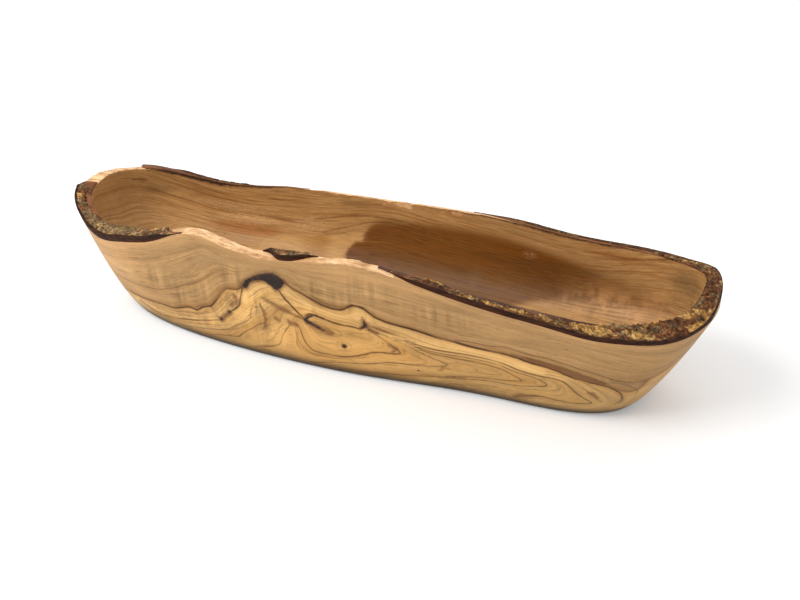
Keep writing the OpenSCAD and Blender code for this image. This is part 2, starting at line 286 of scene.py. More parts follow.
# ---------------------------------------------------------------- the grain
# Lines of the near wall, drawn one by one. Each is its age (higher lies deeper in the log, None
# bends nothing), half width in mm, darkness (0 isn't drawn), whether the far wall has it too,
# and points (place along the bowl, height) in millimetres.
FIGURE_AT = 0.5
WALL_LINES = [
    # where the pale sapwood ends, left and right of the knot
    (22, 0.55, 0.85, 1, [(-160, 17), (-150, 17.5), (-140, 18), (-130, 19), (-120, 19.3), (-113, 22),
        (-106, 24.6), (-100, 24.3), (-95, 28), (-90, 30), (-87, 32), (-83, 37), (-79, 42), (-75, 47),
        (-70, 48), (-66, 49), (-63, 52), (-60, 55.5)]),
    (22, 0.75, 0.9, 1, [(-35, 62.5), (-28, 58.5), (-22, 56), (-16, 53.5), (-10, 51.3), (-4, 50.3),
        (1, 50.4), (4.5, 51.3), (7.5, 53.8), (10.5, 55.3), (14, 55.6), (17.5, 54.6), (21, 52),
        (25, 49.7), (30, 48.3), (38, 47.3), (47, 46.6), (55, 45), (62, 43.9), (70, 43), (80, 42),
        (90, 41.3), (100, 41.3), (107, 40.8), (114, 39.3), (122, 38), (130, 36.6), (137, 34),
        (144, 31.8), (152, 30), (158, 28.8), (163, 26.5), (166, 23), (167, 19), (166, 15), (163.5, 12)]),
    # sapwood
    (19.5, 0.45, 0.5, 1, [(73, 45), (82, 45.3), (92, 45.2), (98, 46.3), (103, 47), (108, 46),
        (116, 44.8), (126, 44.3), (134, 43), (142, 41), (150, 38.8), (157, 36.5), (164, 34), (170, 32.3),
        (176, 32), (181, 33.5)]),
    (15, 0.45, 0.4, 1, [(-172, 27), (-160, 28), (-150, 28.6), (-140, 29.8), (-130, 31.5), (-122, 34),
        (-113, 38), (-106, 41.5), (-98, 45.5), (-91, 50), (-85, 55), (-79, 59.5), (-73, 61.5),
        (-66, 61.5)]),
    (9, 0.5, 0.18, 1, [(-190, 38), (-176, 43), (-160, 45), (-148, 49), (-136, 52.5), (-124, 57.5),
        (-112, 63), (-100, 69), (-88, 74.5)]),
    (1, 0.4, 0.0, 0, [(-190, 58), (-166, 56), (-147, 61), (-120, 71), (-103, 79), (-84, 80), (-63, 76),
        (-42, 75), (-21, 78), (0, 82), (21, 83), (42, 80), (63, 76), (82, 72), (101, 70), (119, 67),
        (134, 65), (147, 63), (162, 62), (180, 62), (200, 66)]),
    (11, 0.7, 0.16, 0, [(-30, 71), (-20, 69.4), (0, 69), (25, 69), (45, 67.5), (62, 66.3), (78, 65.6),
        (94, 64.3), (110, 62.2), (124, 60.4), (138, 58.6), (150, 56.4), (162, 54), (174, 51), (184, 48)]),
    (13.5, 0.5, 0.14, 0, [(20, 63.5), (40, 62.6), (60, 62), (80, 61.3), (100, 59.4)]),
    (16.5, 0.5, 0.14, 0, [(-26, 62), (-14, 60), (0, 58.6), (22, 57.8), (44, 54.6), (66, 52.4), (90, 51),
        (112, 50), (134, 48.6), (156, 44.6), (172, 41)]),
    # heartwood, outer lines first
    (24.5, 0.35, 0.0, 0, [(-26, 53), (-16, 48.5), (-5, 46.4), (5, 46), (12, 48.2), (20, 46.5), (30, 44),
        (45, 42.6), (60, 39.6), (75, 38.6), (90, 38), (102, 37.6), (116, 35.6), (130, 32.8), (142, 29.4),
        (154, 25), (160, 20), (159, 14)]),
    (27, 0.45, 0.7, 1, [(19.5, 40.2), (27, 38.4), (35, 37.3), (43, 36.3), (52, 34.6), (60, 33.9),
        (70, 34.1), (80, 34.5), (90, 34.6), (98, 33.9), (104, 32.6), (110, 30.8), (117, 29.8),
        (126, 29.3), (133, 29), (137, 27), (140, 23.5), (144, 19), (148, 15.5), (151, 13), (150, 12),
        (146, 11.5), (140, 11), (132, 11.3), (124, 12), (117, 11.3), (111, 9), (106, 6.5)]),
    (34, 0.4, 0.55, 1, [(48, 33.2), (55, 30.6), (62, 30), (72, 29.9), (82, 29.9), (92, 29.5), (99, 28.6),
        (105, 26), (110, 23.6), (111.5, 22.2), (107, 20.9), (99, 19.4), (91, 18.4), (83, 17), (74, 15),
        (65, 13.1)]),
    (37, 0.45, 0.6, 1, [(30, 37), (38, 34.6), (46, 31.2), (53, 28), (60, 25.7), (65, 24), (66.5, 22.6),
        (63, 21), (55, 19.3), (46, 18.1), (37, 17.3), (29, 16.3), (22, 14), (14, 12), (5, 10.3),
        (-4, 8.5), (-14, 6), (-22, 3.5)]),
    (33, 0.4, 0.5, 1, [(76, 14.2), (66, 12.3), (58, 11), (50, 9.5), (42, 8), (33, 7.2), (24, 6),
        (12, 4.3), (2, 3)]),
    (40, 0.5, 0.7, 0, [(-29, 33.5), (-27, 31.5), (-25.6, 28), (-24.8, 24.5), (-23.5, 20.5), (-21, 16.8),
        (-18, 14.5), (-12, 13.8), (-5, 13.9), (2, 14.8), (9, 17), (15, 19.5), (20, 22.3), (27, 23.8),
        (34, 24.5), (38.5, 25.8), (37, 28), (33.5, 31), (29, 34), (24, 37), (20.5, 39)]),
    (40, 0.7, 0.95, 0, [(-21, 40.5), (-18.5, 42.6), (-15, 42.5), (-9, 41), (-3, 39.8), (4, 39.4),
        (10, 39.5), (14, 38.6)]),
    (44, 0.4, 0.0, 0, [(-14, 26), (0, 27), (14, 30)]),
    # round the knot
    (None, 0.6, 0.9, 0, [(-39, 57), (-36, 52.5), (-33, 49), (-29.5, 45), (-26, 41.5), (-22.5, 38.4),
        (-20, 36)]),
    (None, 0.55, 0.85, 0, [(-60, 56), (-62.5, 52), (-64, 47), (-65.5, 42), (-67, 37), (-70, 33.5),
        (-74, 30.5), (-76.5, 28), (-80, 24), (-82, 21.5)]),
    (27, 0.6, 0.7, 1, [(-83, 21), (-88, 19.5), (-95, 17.3), (-103, 14.8), (-112, 12.6), (-120, 10.8),
        (-128, 9.4), (-136, 9), (-144, 10.5), (-151, 13)]),
    (31, 0.35, 0.55, 1, [(-59, 30), (-62, 27), (-66, 23.8), (-71, 20.5), (-75, 17.6), (-81, 14),
        (-88, 12), (-96, 10), (-106, 7.5), (-116, 5.5)]),
    (34, 0.4, 0.65, 1, [(-50, 28), (-55, 25), (-60, 21), (-64.5, 17.5), (-68, 14.5), (-71, 11.5),
        (-78, 9.8), (-86, 7.8), (-96, 5)]),
    (37, 0.4, 0.6, 0, [(-32.5, 32.5), (-33.5, 29), (-36, 25.5), (-38.5, 21.5), (-40, 17.5), (-42, 13.5),
        (-46, 10.7), (-52, 8.6), (-60, 6.5)]),
    (None, 0.35, 0.5, 0, [(-57, 39.5), (-54, 38.5), (-51.5, 40.5), (-51, 44), (-51, 47), (-46, 46.4),
        (-41, 44.6), (-36, 42.4)]),
    # right-hand end
    (18, 0.5, 0.4, 1, [(161, 32.5), (167, 30.8), (172, 28), (174.5, 24), (174, 19), (172, 14), (169.5, 9)]),
    # ages along the lower edge
    (24, 0.3, 0.0, 0, [(-172, 0), (-160, 6)]),
    (24, 0.3, 0.0, 0, [(136, 0), (146, 4)]),
    (28, 0.3, 0.0, 0, [(-140, 0), (-128, 1)]),
    (30, 0.3, 0.0, 0, [(84, 0), (94, 2)]),
    (14, 0.3, 0.0, 0, [(179, 19), (177, 8)]),
    (10, 0.3, 0.0, 0, [(192, 32), (191, 27)]),
    (10, 0.3, 0.0, 0, [(-192, 20), (-190, 12)]),
]
# Lines that run close to those above
WALL_FINE = [
    (31, 0.4, 0.65, 0, [(43, 35.4), (50, 33), (57, 32), (65, 31.8), (75, 32.1), (86, 32.3), (96, 32),
        (102, 30.6), (108, 28.8), (115, 27.6), (121, 26.4), (125, 24.4), (125.6, 22.3), (121, 20.4),
        (113, 18.4), (105, 16.9), (96, 16.3), (88, 15.6), (80, 13.9), (70, 12.1), (60, 10.4)]),
    (None, 0.35, 0.45, 0, [(-33, 63.8), (-27, 62), (-21, 59), (-15, 56), (-9, 53.6), (-3, 52.6), (4, 53)]),
    (None, 0.3, 0.3, 0, [(-122, 35.5), (-112, 39.5), (-104, 43.5), (-96, 48), (-89, 52.6), (-83, 57.4)]),
    (20.8, 0.9, 0.45, 0, [(106, 42.6), (114, 42), (122, 41), (130, 40), (138, 38.3), (146, 35.8),
        (153, 33.4), (160, 30.6)]),
    (None, 0.3, 0.5, 0, [(-66.5, 49), (-67.5, 44), (-69, 40), (-68.5, 36)]),
    (None, 0.35, 0.6, 0, [(-89, 31), (-87, 28.5), (-85.5, 25), (-82, 21.5)]),
    (25, 0.35, 0.4, 0, [(-88, 22.5), (-96, 20), (-106, 17.4), (-116, 15.2), (-126, 13.6), (-136, 13)]),
    (None, 0.3, 0.45, 0, [(-48.5, 44.5), (-45, 43.2), (-41, 41.5), (-36, 40)]),
    (None, 0.3, 0.4, 0, [(-57.5, 38), (-59, 34), (-60, 30.5)]),
    (None, 0.35, 0.4, 0, [(-20, 35.8), (-13, 32.5), (-7, 30.8), (-3, 31.5)]),
    (None, 1.0, 0.5, 0, [(166.8, 18), (167.2, 15), (165.4, 12)]),
    (None, 0.3, 0.45, 0, [(-138, 16.5), (-126, 16.6), (-116, 18), (-106, 20.4), (-98, 21.6), (-91, 24.5)]),
    (None, 0.25, 0.4, 0, [(-150, 15.5), (-138, 14.5), (-124, 14.6), (-112, 16.4), (-102, 18.6),
        (-92, 20.6), (-84, 23.4)]),
    (None, 0.3, 0.4, 0, [(-140, 7.6), (-126, 7.8), (-114, 9.8), (-102, 12.4), (-92, 14.6), (-82, 17.2),
        (-76, 20)]),
    (None, 0.25, 0.35, 0, [(-84, 12.6), (-76, 15.4), (-69, 18.8), (-63, 23), (-58, 27)]),
    (None, 0.25, 0.4, 0, [(-78, 31.5), (-74, 35), (-71, 39), (-70, 44)]),
    (None, 0.25, 0.35, 0, [(-84, 33.5), (-80, 36), (-76, 40.5), (-72, 44.6)]),
    (None, 0.25, 0.35, 0, [(-56, 44.5), (-54.5, 41.5), (-54.6, 37), (-55.6, 33)]),
    (None, 0.25, 0.3, 0, [(-48, 47.6), (-42, 46.8), (-37, 44.4), (-32.5, 41.6), (-29, 39)]),
    (None, 0.25, 0.35, 0, [(-46, 31), (-47.5, 27), (-50, 22.6), (-53, 18.4), (-57, 15)]),
    (None, 0.25, 0.35, 0, [(-37.5, 30), (-40.5, 25.6), (-43.5, 20.4), (-46.6, 16), (-52, 12.6)]),
    (None, 0.3, 0.4, 0, [(-28, 27), (-28.4, 22.4), (-26.6, 17.4), (-22, 12.6), (-14, 11.4), (-4, 11.8),
        (6, 13.4)]),
    (None, 0.25, 0.35, 0, [(-16, 30.2), (-10, 29.4), (-3, 29.6), (2, 31.6), (0, 34.4), (-6, 36)]),
    (None, 0.25, 0.3, 0, [(-2, 21.4), (1, 19.8), (5, 20.2), (7.4, 22.6), (6, 25.6), (2, 26.6),
        (-1.6, 25), (-2, 21.4)]),
    (None, 0.3, 0.45, 0, [(22, 42.4), (28, 41), (34, 39.6), (40, 38.6), (48, 36.4)]),
    (None, 0.25, 0.35, 0, [(24, 44.8), (32, 43.2), (42, 41.2), (54, 38), (66, 36.4), (80, 36.6),
        (94, 36.8)]),
    (None, 0.25, 0.35, 0, [(40, 29), (48, 25.6), (54, 22.6), (52, 20.8)]),
    (None, 0.25, 0.4, 0, [(72, 26.8), (80, 26.6), (88, 26.4), (95, 25.2), (98.6, 23.8), (95, 22.6),
        (88, 21.6), (80, 20.4)]),
    (None, 0.25, 0.35, 0, [(124, 27.6), (130, 26.6), (134, 23.6), (132, 20.6), (125, 18.4), (117, 16.6),
        (108, 14.6)]),
    (None, 0.3, 0.4, 0, [(126, 32), (134, 31.4), (142, 28.4), (147, 24.6), (152, 19.4), (156, 14.4)]),
    (None, 0.25, 0.4, 0, [(126, 34.4), (136, 33.4), (145, 30.6), (152, 26.8), (157, 22.6), (159.6, 17.6)]),
    (None, 0.25, 0.3, 0, [(130, 9), (120, 9.4), (112, 7), (104, 4.4)]),
    (None, 0.25, 0.3, 0, [(96, 12.4), (86, 10.6), (76, 8.2), (66, 6.6)]),
]
# The same for the trough's far side: (place along the bowl, way down from the rim, 0 to 100)
TROUGH_LINES = [
    (None, 0.5, 0.5, 0, [(-70, 20), (-60, 18), (-50, 15.5), (-40, 13.5), (-30, 12.5), (-18, 12),
        (-8, 12.3), (4, 14), (16, 17), (30, 19.5)]),
    (None, 0.35, 0.35, 0, [(-66, 31), (-56, 28.6), (-47, 26.4), (-40, 23)]),
    (None, 0.5, 0.45, 0, [(-140, 20.5), (-125, 20.8), (-110, 21.4), (-96, 22.6), (-84, 23.2)]),
    (None, 0.4, 0.3, 0, [(-186, 13), (-172, 16), (-160, 18), (-150, 18.8), (-140, 20)]),
    (None, 0.4, 0.3, 0, [(0, 20.5), (12, 23), (24, 26), (36, 29), (50, 31)]),
    (None, 0.4, 0.25, 0, [(100, 26.5), (115, 27.5), (128, 28.6)]),
    (None, 0.4, 0.3, 0, [(-110, 9.6), (-98, 9), (-84, 8.4), (-72, 7.6)]),
    (None, 0.8, 0.35, 0, [(118, 6.2), (132, 6), (146, 5.6), (158, 4.4)]),
    (None, 0.35, 0.3, 0, [(186, 13), (190, 16), (191, 20), (189, 25)]),
]
TROUGH_FINE = [
    (None, 0.5, 0.5, 0, [(-62, 28), (-52, 24.5), (-42, 21), (-34, 18), (-26, 15.8), (-16, 14.6),
        (-6, 15), (6, 16.6), (18, 19)]),
    (None, 0.4, 0.3, 0, [(86, 22.4), (96, 22), (106, 22.6), (118, 23), (130, 24)]),
    (None, 0.3, 0.3, 0, [(-150, 24), (-136, 25.4), (-120, 26.6), (-104, 28), (-90, 28.6)]),
    (None, 0.3, 0.3, 0, [(-134, 30), (-118, 31.4), (-104, 32.6), (-92, 33)]),
    (None, 0.3, 0.25, 0, [(-176, 22), (-162, 24.4), (-148, 27.6)]),
    (None, 0.3, 0.25, 0, [(-50, 7.4), (-36, 5.6), (-20, 5), (0, 6.4), (22, 9.4), (44, 11.6)]),
    (None, 0.3, 0.25, 0, [(30, 15.4), (48, 17.4), (66, 18.4), (84, 18.8), (100, 18.6)]),
    (None, 0.3, 0.25, 0, [(-170, 8), (-150, 9.6), (-130, 12.4), (-108, 14.6)]),
]
# Fibres of the trough's far side run along this: (place along the bowl, way down)
TROUGH_RUN = [
    (-200, 6), (-170, 15), (-140, 20), (-100, 22), (-70, 23), (-45, 20), (-20, 14.5), (5, 16.5),
    (40, 21), (90, 23), (130, 20), (165, 12), (200, 5),
]
# Outlines of the trough's pale and orange parts, and of the near wall's knot
PALE_PATCH = [
    (-109, 54), (-107, 44), (-104, 39.5), (-99, 36.8), (-94, 34.6), (-88, 34), (-80, 34.6), (-72, 33.2),
    (-64, 31), (-56, 29.5), (-49, 27.8), (-43, 25.6), (-37, 24), (-32.5, 24), (-31.6, 28), (-34, 30.4),
    (-38.5, 31.6), (-41, 35), (-43, 39), (-45, 44), (-48, 60), (-54, 84), (-90, 88), (-112, 72),
]
WARM_PATCH = [
    (-31.5, 24), (-29, 20), (-24, 16.5), (-14, 13.5), (0, 11.5), (12, 10.5), (25, 10), (40, 10),
    (60, 10.5), (80, 11.5), (100, 13), (120, 15), (142, 18), (166, 20), (182, 25), (170, 33), (148, 36),
    (128, 39), (110, 43), (92, 50), (74, 64), (50, 84), (0, 88), (-26, 88), (-40, 70), (-43, 50),
    (-43.5, 41), (-40.5, 35.5), (-38, 31.8), (-33.5, 30.5), (-31.2, 27),
]
KNOT = [
    (-62.5, 52), (-60, 56.5), (-55, 60.8), (-50, 63.6), (-45, 65.4), (-40, 66.4), (-36, 64.6),
    (-33, 61.8), (-34.5, 59.4), (-36.6, 56.4), (-39.4, 55), (-43, 57.4), (-47, 59.6), (-51, 59.4),
    (-55, 58), (-58, 54.6), (-60, 51),
]
# Stains: strokes of (place along the bowl, height or way down, half width)
BLACK_STROKES = [
    [(-22.5, 37.4, 0.7), (-19.6, 36.2, 1.2), (-16, 34.8, 1.0), (-12.6, 33.4, 0.9), (-9, 32.2, 0.4)],
    [(-21.5, 37.6, 1.0), (-19.4, 40, 0.9), (-16.4, 41.8, 0.8)],
    [(-14, 42.4, 0.9), (-9, 41.2, 0.5)],
    [(2.6, 23.2, 1.3), (3.0, 23.2, 1.3)],
    [(-75.6, 29.4, 0.9), (-74.6, 30, 0.9)],
    [(-82, 22.6, 1.2), (-82.2, 21.6, 1.0)],
    [(48, 14, 0.6), (48.4, 14, 0.6)],
    [(17, 45.5, 0.4), (17.6, 43, 1.1), (16.4, 41, 0.8), (14, 39.2, 0.5)],
    [(18, 41, 0.6), (21, 39.4, 0.5)],
]
BROWN_STROKES = [
    [(-50, 46.5, 0.7), (-44, 44.6, 1.2), (-37, 41.8, 1.4), (-29, 39.4, 1.2), (-23, 38, 1.0)],
    [(-52, 42, 0.8), (-50, 37, 1.3), (-49, 31, 1.3), (-50.5, 25, 1.0), (-52, 22, 0.6)],
    [(-33, 33.6, 1.6), (-31.6, 32.4, 1.8), (-28, 32, 1.6)],
    [(-42, 33.6, 1.6), (-40.4, 33, 1.6)],
    [(16.4, 48, 1.0), (17.4, 43.4, 2.8), (20, 40, 2.4), (25, 38.4, 1.0)],
    [(17, 42, 1.6), (13.6, 39.6, 1.0)],
    [(-21, 36, 2.0), (-14, 34, 3.0), (-8, 32.4, 2.6), (-4, 31.6, 1.2)],
    [(2.6, 23.2, 2.0), (3.0, 23.2, 2.0)],
    [(-75, 29.4, 2.0), (-79, 25.5, 1.8), (-82, 22, 2.4)],
    [(-70, 44, 1.6), (-68, 40, 2.2), (-72, 36, 1.6)],
    [(112, 41.3, 0.8), (124, 39.6, 1.7), (136, 37, 2.1), (147, 33.6, 2.2), (157, 30.4, 1.6)],
    [(149, 22, 1.0), (152, 20.5, 1.8), (154, 17.6, 1.2)],
    [(120, 11.6, 0.8), (112, 9.6, 1.6), (106, 7.4, 1.4)],
    [(31, 31, 0.8), (36, 28, 1.6), (33, 25.6, 0.8)],
]
TROUGH_BROWN = [
    [(-31.5, 24.6, 1.2), (-31.2, 26.4, 1.9), (-31.8, 28.4, 1.3)],
    [(-28, 39, 1.6), (-36, 38, 2.6), (-42, 38, 1.6)],
    [(-22, 42, 1.2), (-14, 46, 2.6), (-24, 50, 2.0)],
    [(64.6, 43.4, 0.7), (65, 43.6, 0.7)],
    [(-194, 6.4, 0.7), (-190, 7.2, 1.0), (-186, 7.8, 0.5)],
]
TROUGH_BLACK = [
    [(-190, 0.0, 0.5), (-176, 0.2, 1.3), (-160, 0.3, 1.7), (-142, 0.3, 2.2), (-130, 0.2, 1.4),
        (-104, 0.0, 1.1), (-84, -0.4, 0.5)],
    [(10, -0.5, 0.5), (40, 0.0, 0.9), (90, 0.1, 1.1), (140, 0.0, 0.9), (170, -0.4, 0.5)],
]
# Where the near wall has cross ripples: (place along the bowl, height, reach along, reach up)
RIPPLES = [
    (-110, 30, 14, 9), (-91, 42, 14, 12), (-74, 38, 9, 8), (-70, 56, 10, 8), (6, 57, 10, 8),
    (-12, 60, 9, 6), (60, 60, 20, 6), (-80, 28, 8, 6), (-130, 40, 16, 9), (20, 68, 16, 8),
    (-46, 22, 18, 10), (-56, 42, 9, 9), (-22, 44, 8, 6), (20, 50, 5, 5), (-100, 18, 18, 5),
]
# Paler (+) and darker (-) stretches: (place along the bowl, height or way down, reaches, change)
WALL_TONES = [
    (-165, 38, 34, 26, 0.28), (-118, 22, 34, 9, 0.12), (-62, 38, 16, 16, 0.2), (-10, 46, 22, 5, 0.12),
    (70, 37, 50, 7, 0.42), (124, 33, 30, 5, 0.3), (0, 20, 60, 12, 0.16), (96, 22, 30, 8, -0.02),
    (60, 8, 70, 7, -0.06), (125, 54, 60, 12, 0.16), (110, 66, 60, 5, 0.06), (185, 40, 18, 26, 0.12),
    (-90, 64, 34, 8, -0.08), (0, 60, 30, 5, -0.08), (-45, 46, 20, 8, 0.08), (26, 22, 26, 10, 0.1),
    (-30, 24, 8, 12, 0.14), (-64, 34, 6, 14, 0.16), (-52, 31, 8, 9, -0.14), (75, 30, 40, 3, -0.12),
    (20, 62, 26, 4, -0.08), (35, 47.5, 34, 3, 0.12),
]
# In the trough, the darker stretches at place 120 and 188 are painted shade of the trough's right end.
TROUGH_TONES_AND_SHADE = [
    (-170, 28, 24, 12, 0.14), (-120, 24, 26, 4, 0.1), (-60, 5, 60, 5, 0.04), (-185, 9, 12, 5, -0.14),
    (-150, 14, 16, 4, -0.08), (-95, 13, 30, 4, -0.05), (110, 16, 30, 5, 0.05), (140, 34, 22, 10, 0.12),
    (176, 20, 12, 10, 0.02), (60, 8, 60, 5, 0.03), (60, 27, 50, 4, -0.1), (-20, 18, 30, 4, -0.06),
    (120, 24, 56, 18, -0.26), (188, 16, 14, 16, -0.22), (0, 90, 260, 22, -0.12),
]
# Zones of the trough's far side, as (place along the bowl, way down, reaches, strength)
RUDDY_ZONES = [
    (-120, 33, 30, 6, 0.9), (86, 16.5, 34, 4, 0.7), (140, 5.6, 26, 3, 0.6), (-150, 13, 20, 4, 0.4),
]
# where the trough's far side gets painted sheen
SHEEN_ZONES = [
    (-132, 16.5, 36, 4, 0.8), (-118, 25.5, 26, 4.5, 1.0), (-72, 24, 16, 6, 0.8), (-68, 12, 14, 5, 0.5),
    (84, 17.5, 7, 3, 0.7), (120, 26, 26, 4, 0.4),
]
MOTTLED_ZONES = [
    (142, 38, 28, 12, 1.0), (116, 46, 20, 8, 0.6), (172, 26, 16, 9, 0.4),
]
GREY_ZONES = [
    (49, 41, 7, 12, 0.55), (-38, 6, 16, 4, 0.6), (-182, 13, 14, 4, 0.6), (70, 4, 46, 5, 0.5),
    (-96, 4, 40, 5, 0.4), (186, 9, 14, 8, 0.7),
]
# Chips in the far rim that show pale new wood: (place on the rim, reach, depth)
CHIPS = [
    (2.515, 0.022, 3.0), (2.545, 0.012, 1.6), (2.415, 0.014, 1.6), (2.44, 0.01, 1.2),
]


def smooth_line(points, step):
    """Points along a soft curve through the given points, about a step apart."""
    p = np.array(points, float)
    ends = np.concatenate([[2 * p[0] - p[1]], p, [2 * p[-1] - p[-2]]])
    out = []
    for a, b, c, d in zip(ends, ends[1:], ends[2:], ends[3:]):
        count = max(1, int(np.ceil(np.linalg.norm((c - b)[:2]) / step)))
        t = np.arange(count)[:, None] / count
        square, cube = 2 * a - 5 * b + 4 * c - d, 3 * b - a - 3 * c + d
        out.append(0.5 * (2 * b + (c - a) * t + square * t**2 + cube * t**3))
    return np.concatenate(out + [p[-1:]])


def line_values(x, z, lines):
    """For each point: the signed and the plain distance to the nearest line, the line's half
    width and its darkness."""
    shape = x.shape
    at = np.stack([x.ravel(), z.ravel()], -1)
    best = np.full(len(at), 99.0)
    signed, wide, dark = np.full(len(at), 3.0), np.full(len(at), 0.3), np.zeros(len(at))
    for _, half, strength, _, points in lines:
        if strength == 0:
            continue
        p = smooth_line(points, 2.0)
        low, high = p.min(0) - 5, p.max(0) + 5
        pick = np.where(((at > low) & (at < high)).all(1))[0]
        q = at[pick]
        for i in range(len(p) - 1):
            d = p[i + 1] - p[i]
            idx = pick[(np.abs(q - (p[i] + p[i + 1]) / 2) < 6).all(1)]
            v = at[idx] - p[i]
            t = np.clip((v @ d) / (d @ d), 0, 1)
            away = v - t[:, None] * d
            far = np.hypot(away[:, 0], away[:, 1])
            closer = far < best[idx]
            idx = idx[closer]
            side = np.sign(d[0] * v[closer, 1] - d[1] * v[closer, 0])
            along = (i + t[closer]) / (len(p) - 1)
            best[idx] = far[closer]
            signed[idx] = side * np.minimum(far[closer], 3)
            wide[idx] = half * (0.55 + 0.45 * np.sin(np.pi * np.clip(along, 0.06, 0.94)))
            dark[idx] = strength
    return [v.reshape(shape) for v in (signed, np.minimum(best, 6), wide, dark)]


def stroke_depth(x, z, strokes):
    """How far inside the strokes a point lies, over their half width: 1 on the line,
    0 on the border."""
    out = np.full(x.shape, -3.0)
    for line in strokes:
        for (x0, z0, r0), (x1, z1, r1) in zip(line, line[1:]):
            dx, dz = x1 - x0, z1 - z0
            t = np.clip(((x - x0) * dx + (z - z0) * dz) / (dx * dx + dz * dz), 0, 1)
            d = np.hypot(x - x0 - t * dx, z - z0 - t * dz)
            out = np.maximum(out, 1 - d / (r0 + (r1 - r0) * t))
    return out


def patch_depth(x, z, points):
    """Millimetres inside a closed shape, negative outside."""
    p = smooth_line(points + points[:1], 2.0)
    best = np.full(x.shape, 40.0)
    inside = np.zeros(x.shape, bool)
    for a, b in zip(p, p[1:]):
        d = b - a
        t = np.clip(((x - a[0]) * d[0] + (z - a[1]) * d[1]) / (d @ d), 0, 1)
        best = np.minimum(best, np.hypot(x - a[0] - t * d[0], z - a[1] - t * d[1]))
        cross = (a[1] > z) != (b[1] > z)
        inside ^= cross & (x < a[0] + (z - a[1]) * d[0] / (d[1] if abs(d[1]) > 1e-9 else 1e-9))
    return np.where(inside, best, -best)


def blobs(x, z, zones):
    return sum(
        s * np.exp(-((((x - a) / ra) ** 2 + ((z - b) / rb) ** 2) ** 1.5)) for a, b, ra, rb, s in zones
    )


def near_age():
    """The figure's age at any place and height: a thin plate bent through the lines, stiffer
    along the bowl than up the wall."""
    scale, slack, batch = np.array([85.0, 50.0]), 0.0012, 20000
    at, age = [], []
    for own_age, _, _, _, line in WALL_LINES + WALL_FINE:
        if own_age is not None:
            dense = smooth_line(line, 5.0)
            at.append(dense)
            age += [own_age] * len(dense)
    at = np.concatenate(at) / scale
    age = np.array(age, float)

    def plate(r2):
        return r2 * np.log(r2 + 1e-9)

    n = len(at)
    a = np.zeros((n + 3, n + 3))
    a[:n, :n] = plate(((at[:, None] - at[None]) ** 2).sum(-1)) + slack * np.eye(n)
    a[:n, n] = a[n, :n] = 1
    a[:n, n + 1 :] = at
    a[n + 1 :, :n] = at.T
    weights = np.linalg.solve(a, np.concatenate([age, [0, 0, 0]]))

    def value(x, z):
        p = np.stack([x, z], -1).reshape(-1, 2) / scale
        out = np.empty(len(p))
        for i in range(0, len(p), batch):
            q = p[i : i + batch]
            r2 = ((q[:, None] - at[None]) ** 2).sum(-1)
            out[i : i + batch] = plate(r2) @ weights[:n] + weights[n] + q @ weights[n + 1 :]
        return out.reshape(np.shape(x))

    return value


def depth_in_log(x, y, z):
    """Depth below the log's surface, in rings round a pith that runs along the bowl."""
    pith, half_width, square, depth = 20.0, 68, 2.2, 58
    side = np.clip(np.abs(y) / half_width, 0, 0.999)
    ideal = pith + (crest(x) - pith) * (1 - side**square) ** (1 / square)
    up = (z - pith) * (ideal - pith) / np.maximum(8, log_z(x, np.clip(y, -59, 59)) - pith)
    up = np.where(z > pith, up, z - pith)
    r = (side**square + np.abs(up / (crest(x) - pith)) ** square) ** (1 / square)
    return (1 - r) * depth


# ---------------------------------------------------------------- the bowl's body
UNDER, WALL, RIM, TROUGH = 0, 1, 2, 3
BASE_STEPS = [(k / 9) ** 0.9 for k in range(1, 9)]


def bend(a, b, c, t):
    """A point on the soft bend from a to c that b pulls out."""
    return (1 - t) ** 2 * a + 2 * t * (1 - t) * b + t * t * c


def bowl_rings(q, height, inside, ease):
    """Rings from the middle of the underside, up the wall, over the rim and down the trough:
    their points, what they are part of, and how far down the trough they lie (0 to 100)."""
    rings, part, way_down = [], [], []

    def ring(points, kind, way=0.0):
        rings.append(points)
        part.append(kind + 0 * height)
        way_down.append(way + 0 * height)

    for share in BASE_STEPS:
        ring(wall_at(q, 0 * height) * share, UNDER)
    for t in np.linspace(0, 1, WALL_RINGS) ** 1.3:
        ring(wall_at(q, (height - ease) * t), WALL)
    corner = wall_at(q, height)
    edge = ease / np.linalg.norm(corner[:, :2] - inside[:, :2], axis=1)
    low, over = rings[-1], rim_at(q, height, inside, edge)
    for t in (0.3, 0.6, 1.0):
        ring(bend(low, corner, over, t), RIM)
    for t in np.linspace(0, 1, RIM_RINGS)[1:-1]:
        ring(rim_at(q, height, inside, mixed(edge, 1 - edge, t)), RIM)
    over = rim_at(q, height, inside, 1 - edge)
    down = np.clip(ease / (inside[:, 2] - FLOOR_T), 0, 1)
    low = trough_at(inside, (1 - down**TROUGH_FULL) ** (1 / TROUGH_FULL), down)
    for t in (0.0, 0.4, 0.7):
        ring(bend(over, inside, low, t), RIM)
    ring(low, TROUGH, 0.5)
    for m in np.linspace(0, 2, TROUGH_RINGS)[1:-1]:
        cx, cy = (1.0, m) if m <= 1 else (2 - m, 1.0)
        size = (cx**TROUGH_FULL + cy**TROUGH_FULL) ** (1 / TROUGH_FULL)
        d = np.maximum(cy / size, down * (1 + 0.02 * len(rings)))
        r = cx / size + 0 * d
        if m <= 1:
            r = (1 - np.clip(d, 0, 1) ** TROUGH_FULL) ** (1 / TROUGH_FULL)
        ring(trough_at(inside, r, d), TROUGH, 50 * m)
    return np.array(rings), np.array(part), np.array(way_down)


def wall_age(cx, x, y, z, fx, fz, on_wall):
    """The figure's age on the near and far wall, and rings round the pith between them."""
    figure = near_age()(fx, fz)
    far_line = smooth(-90, -40, fx) * smooth(40, 10, fx) * (y > 0)
    figure = figure + far_line * (3 - 0.35 * (figure - 22))
    whole = depth_in_log(x, y, z)
    return whole + on_wall * (figure - whole)


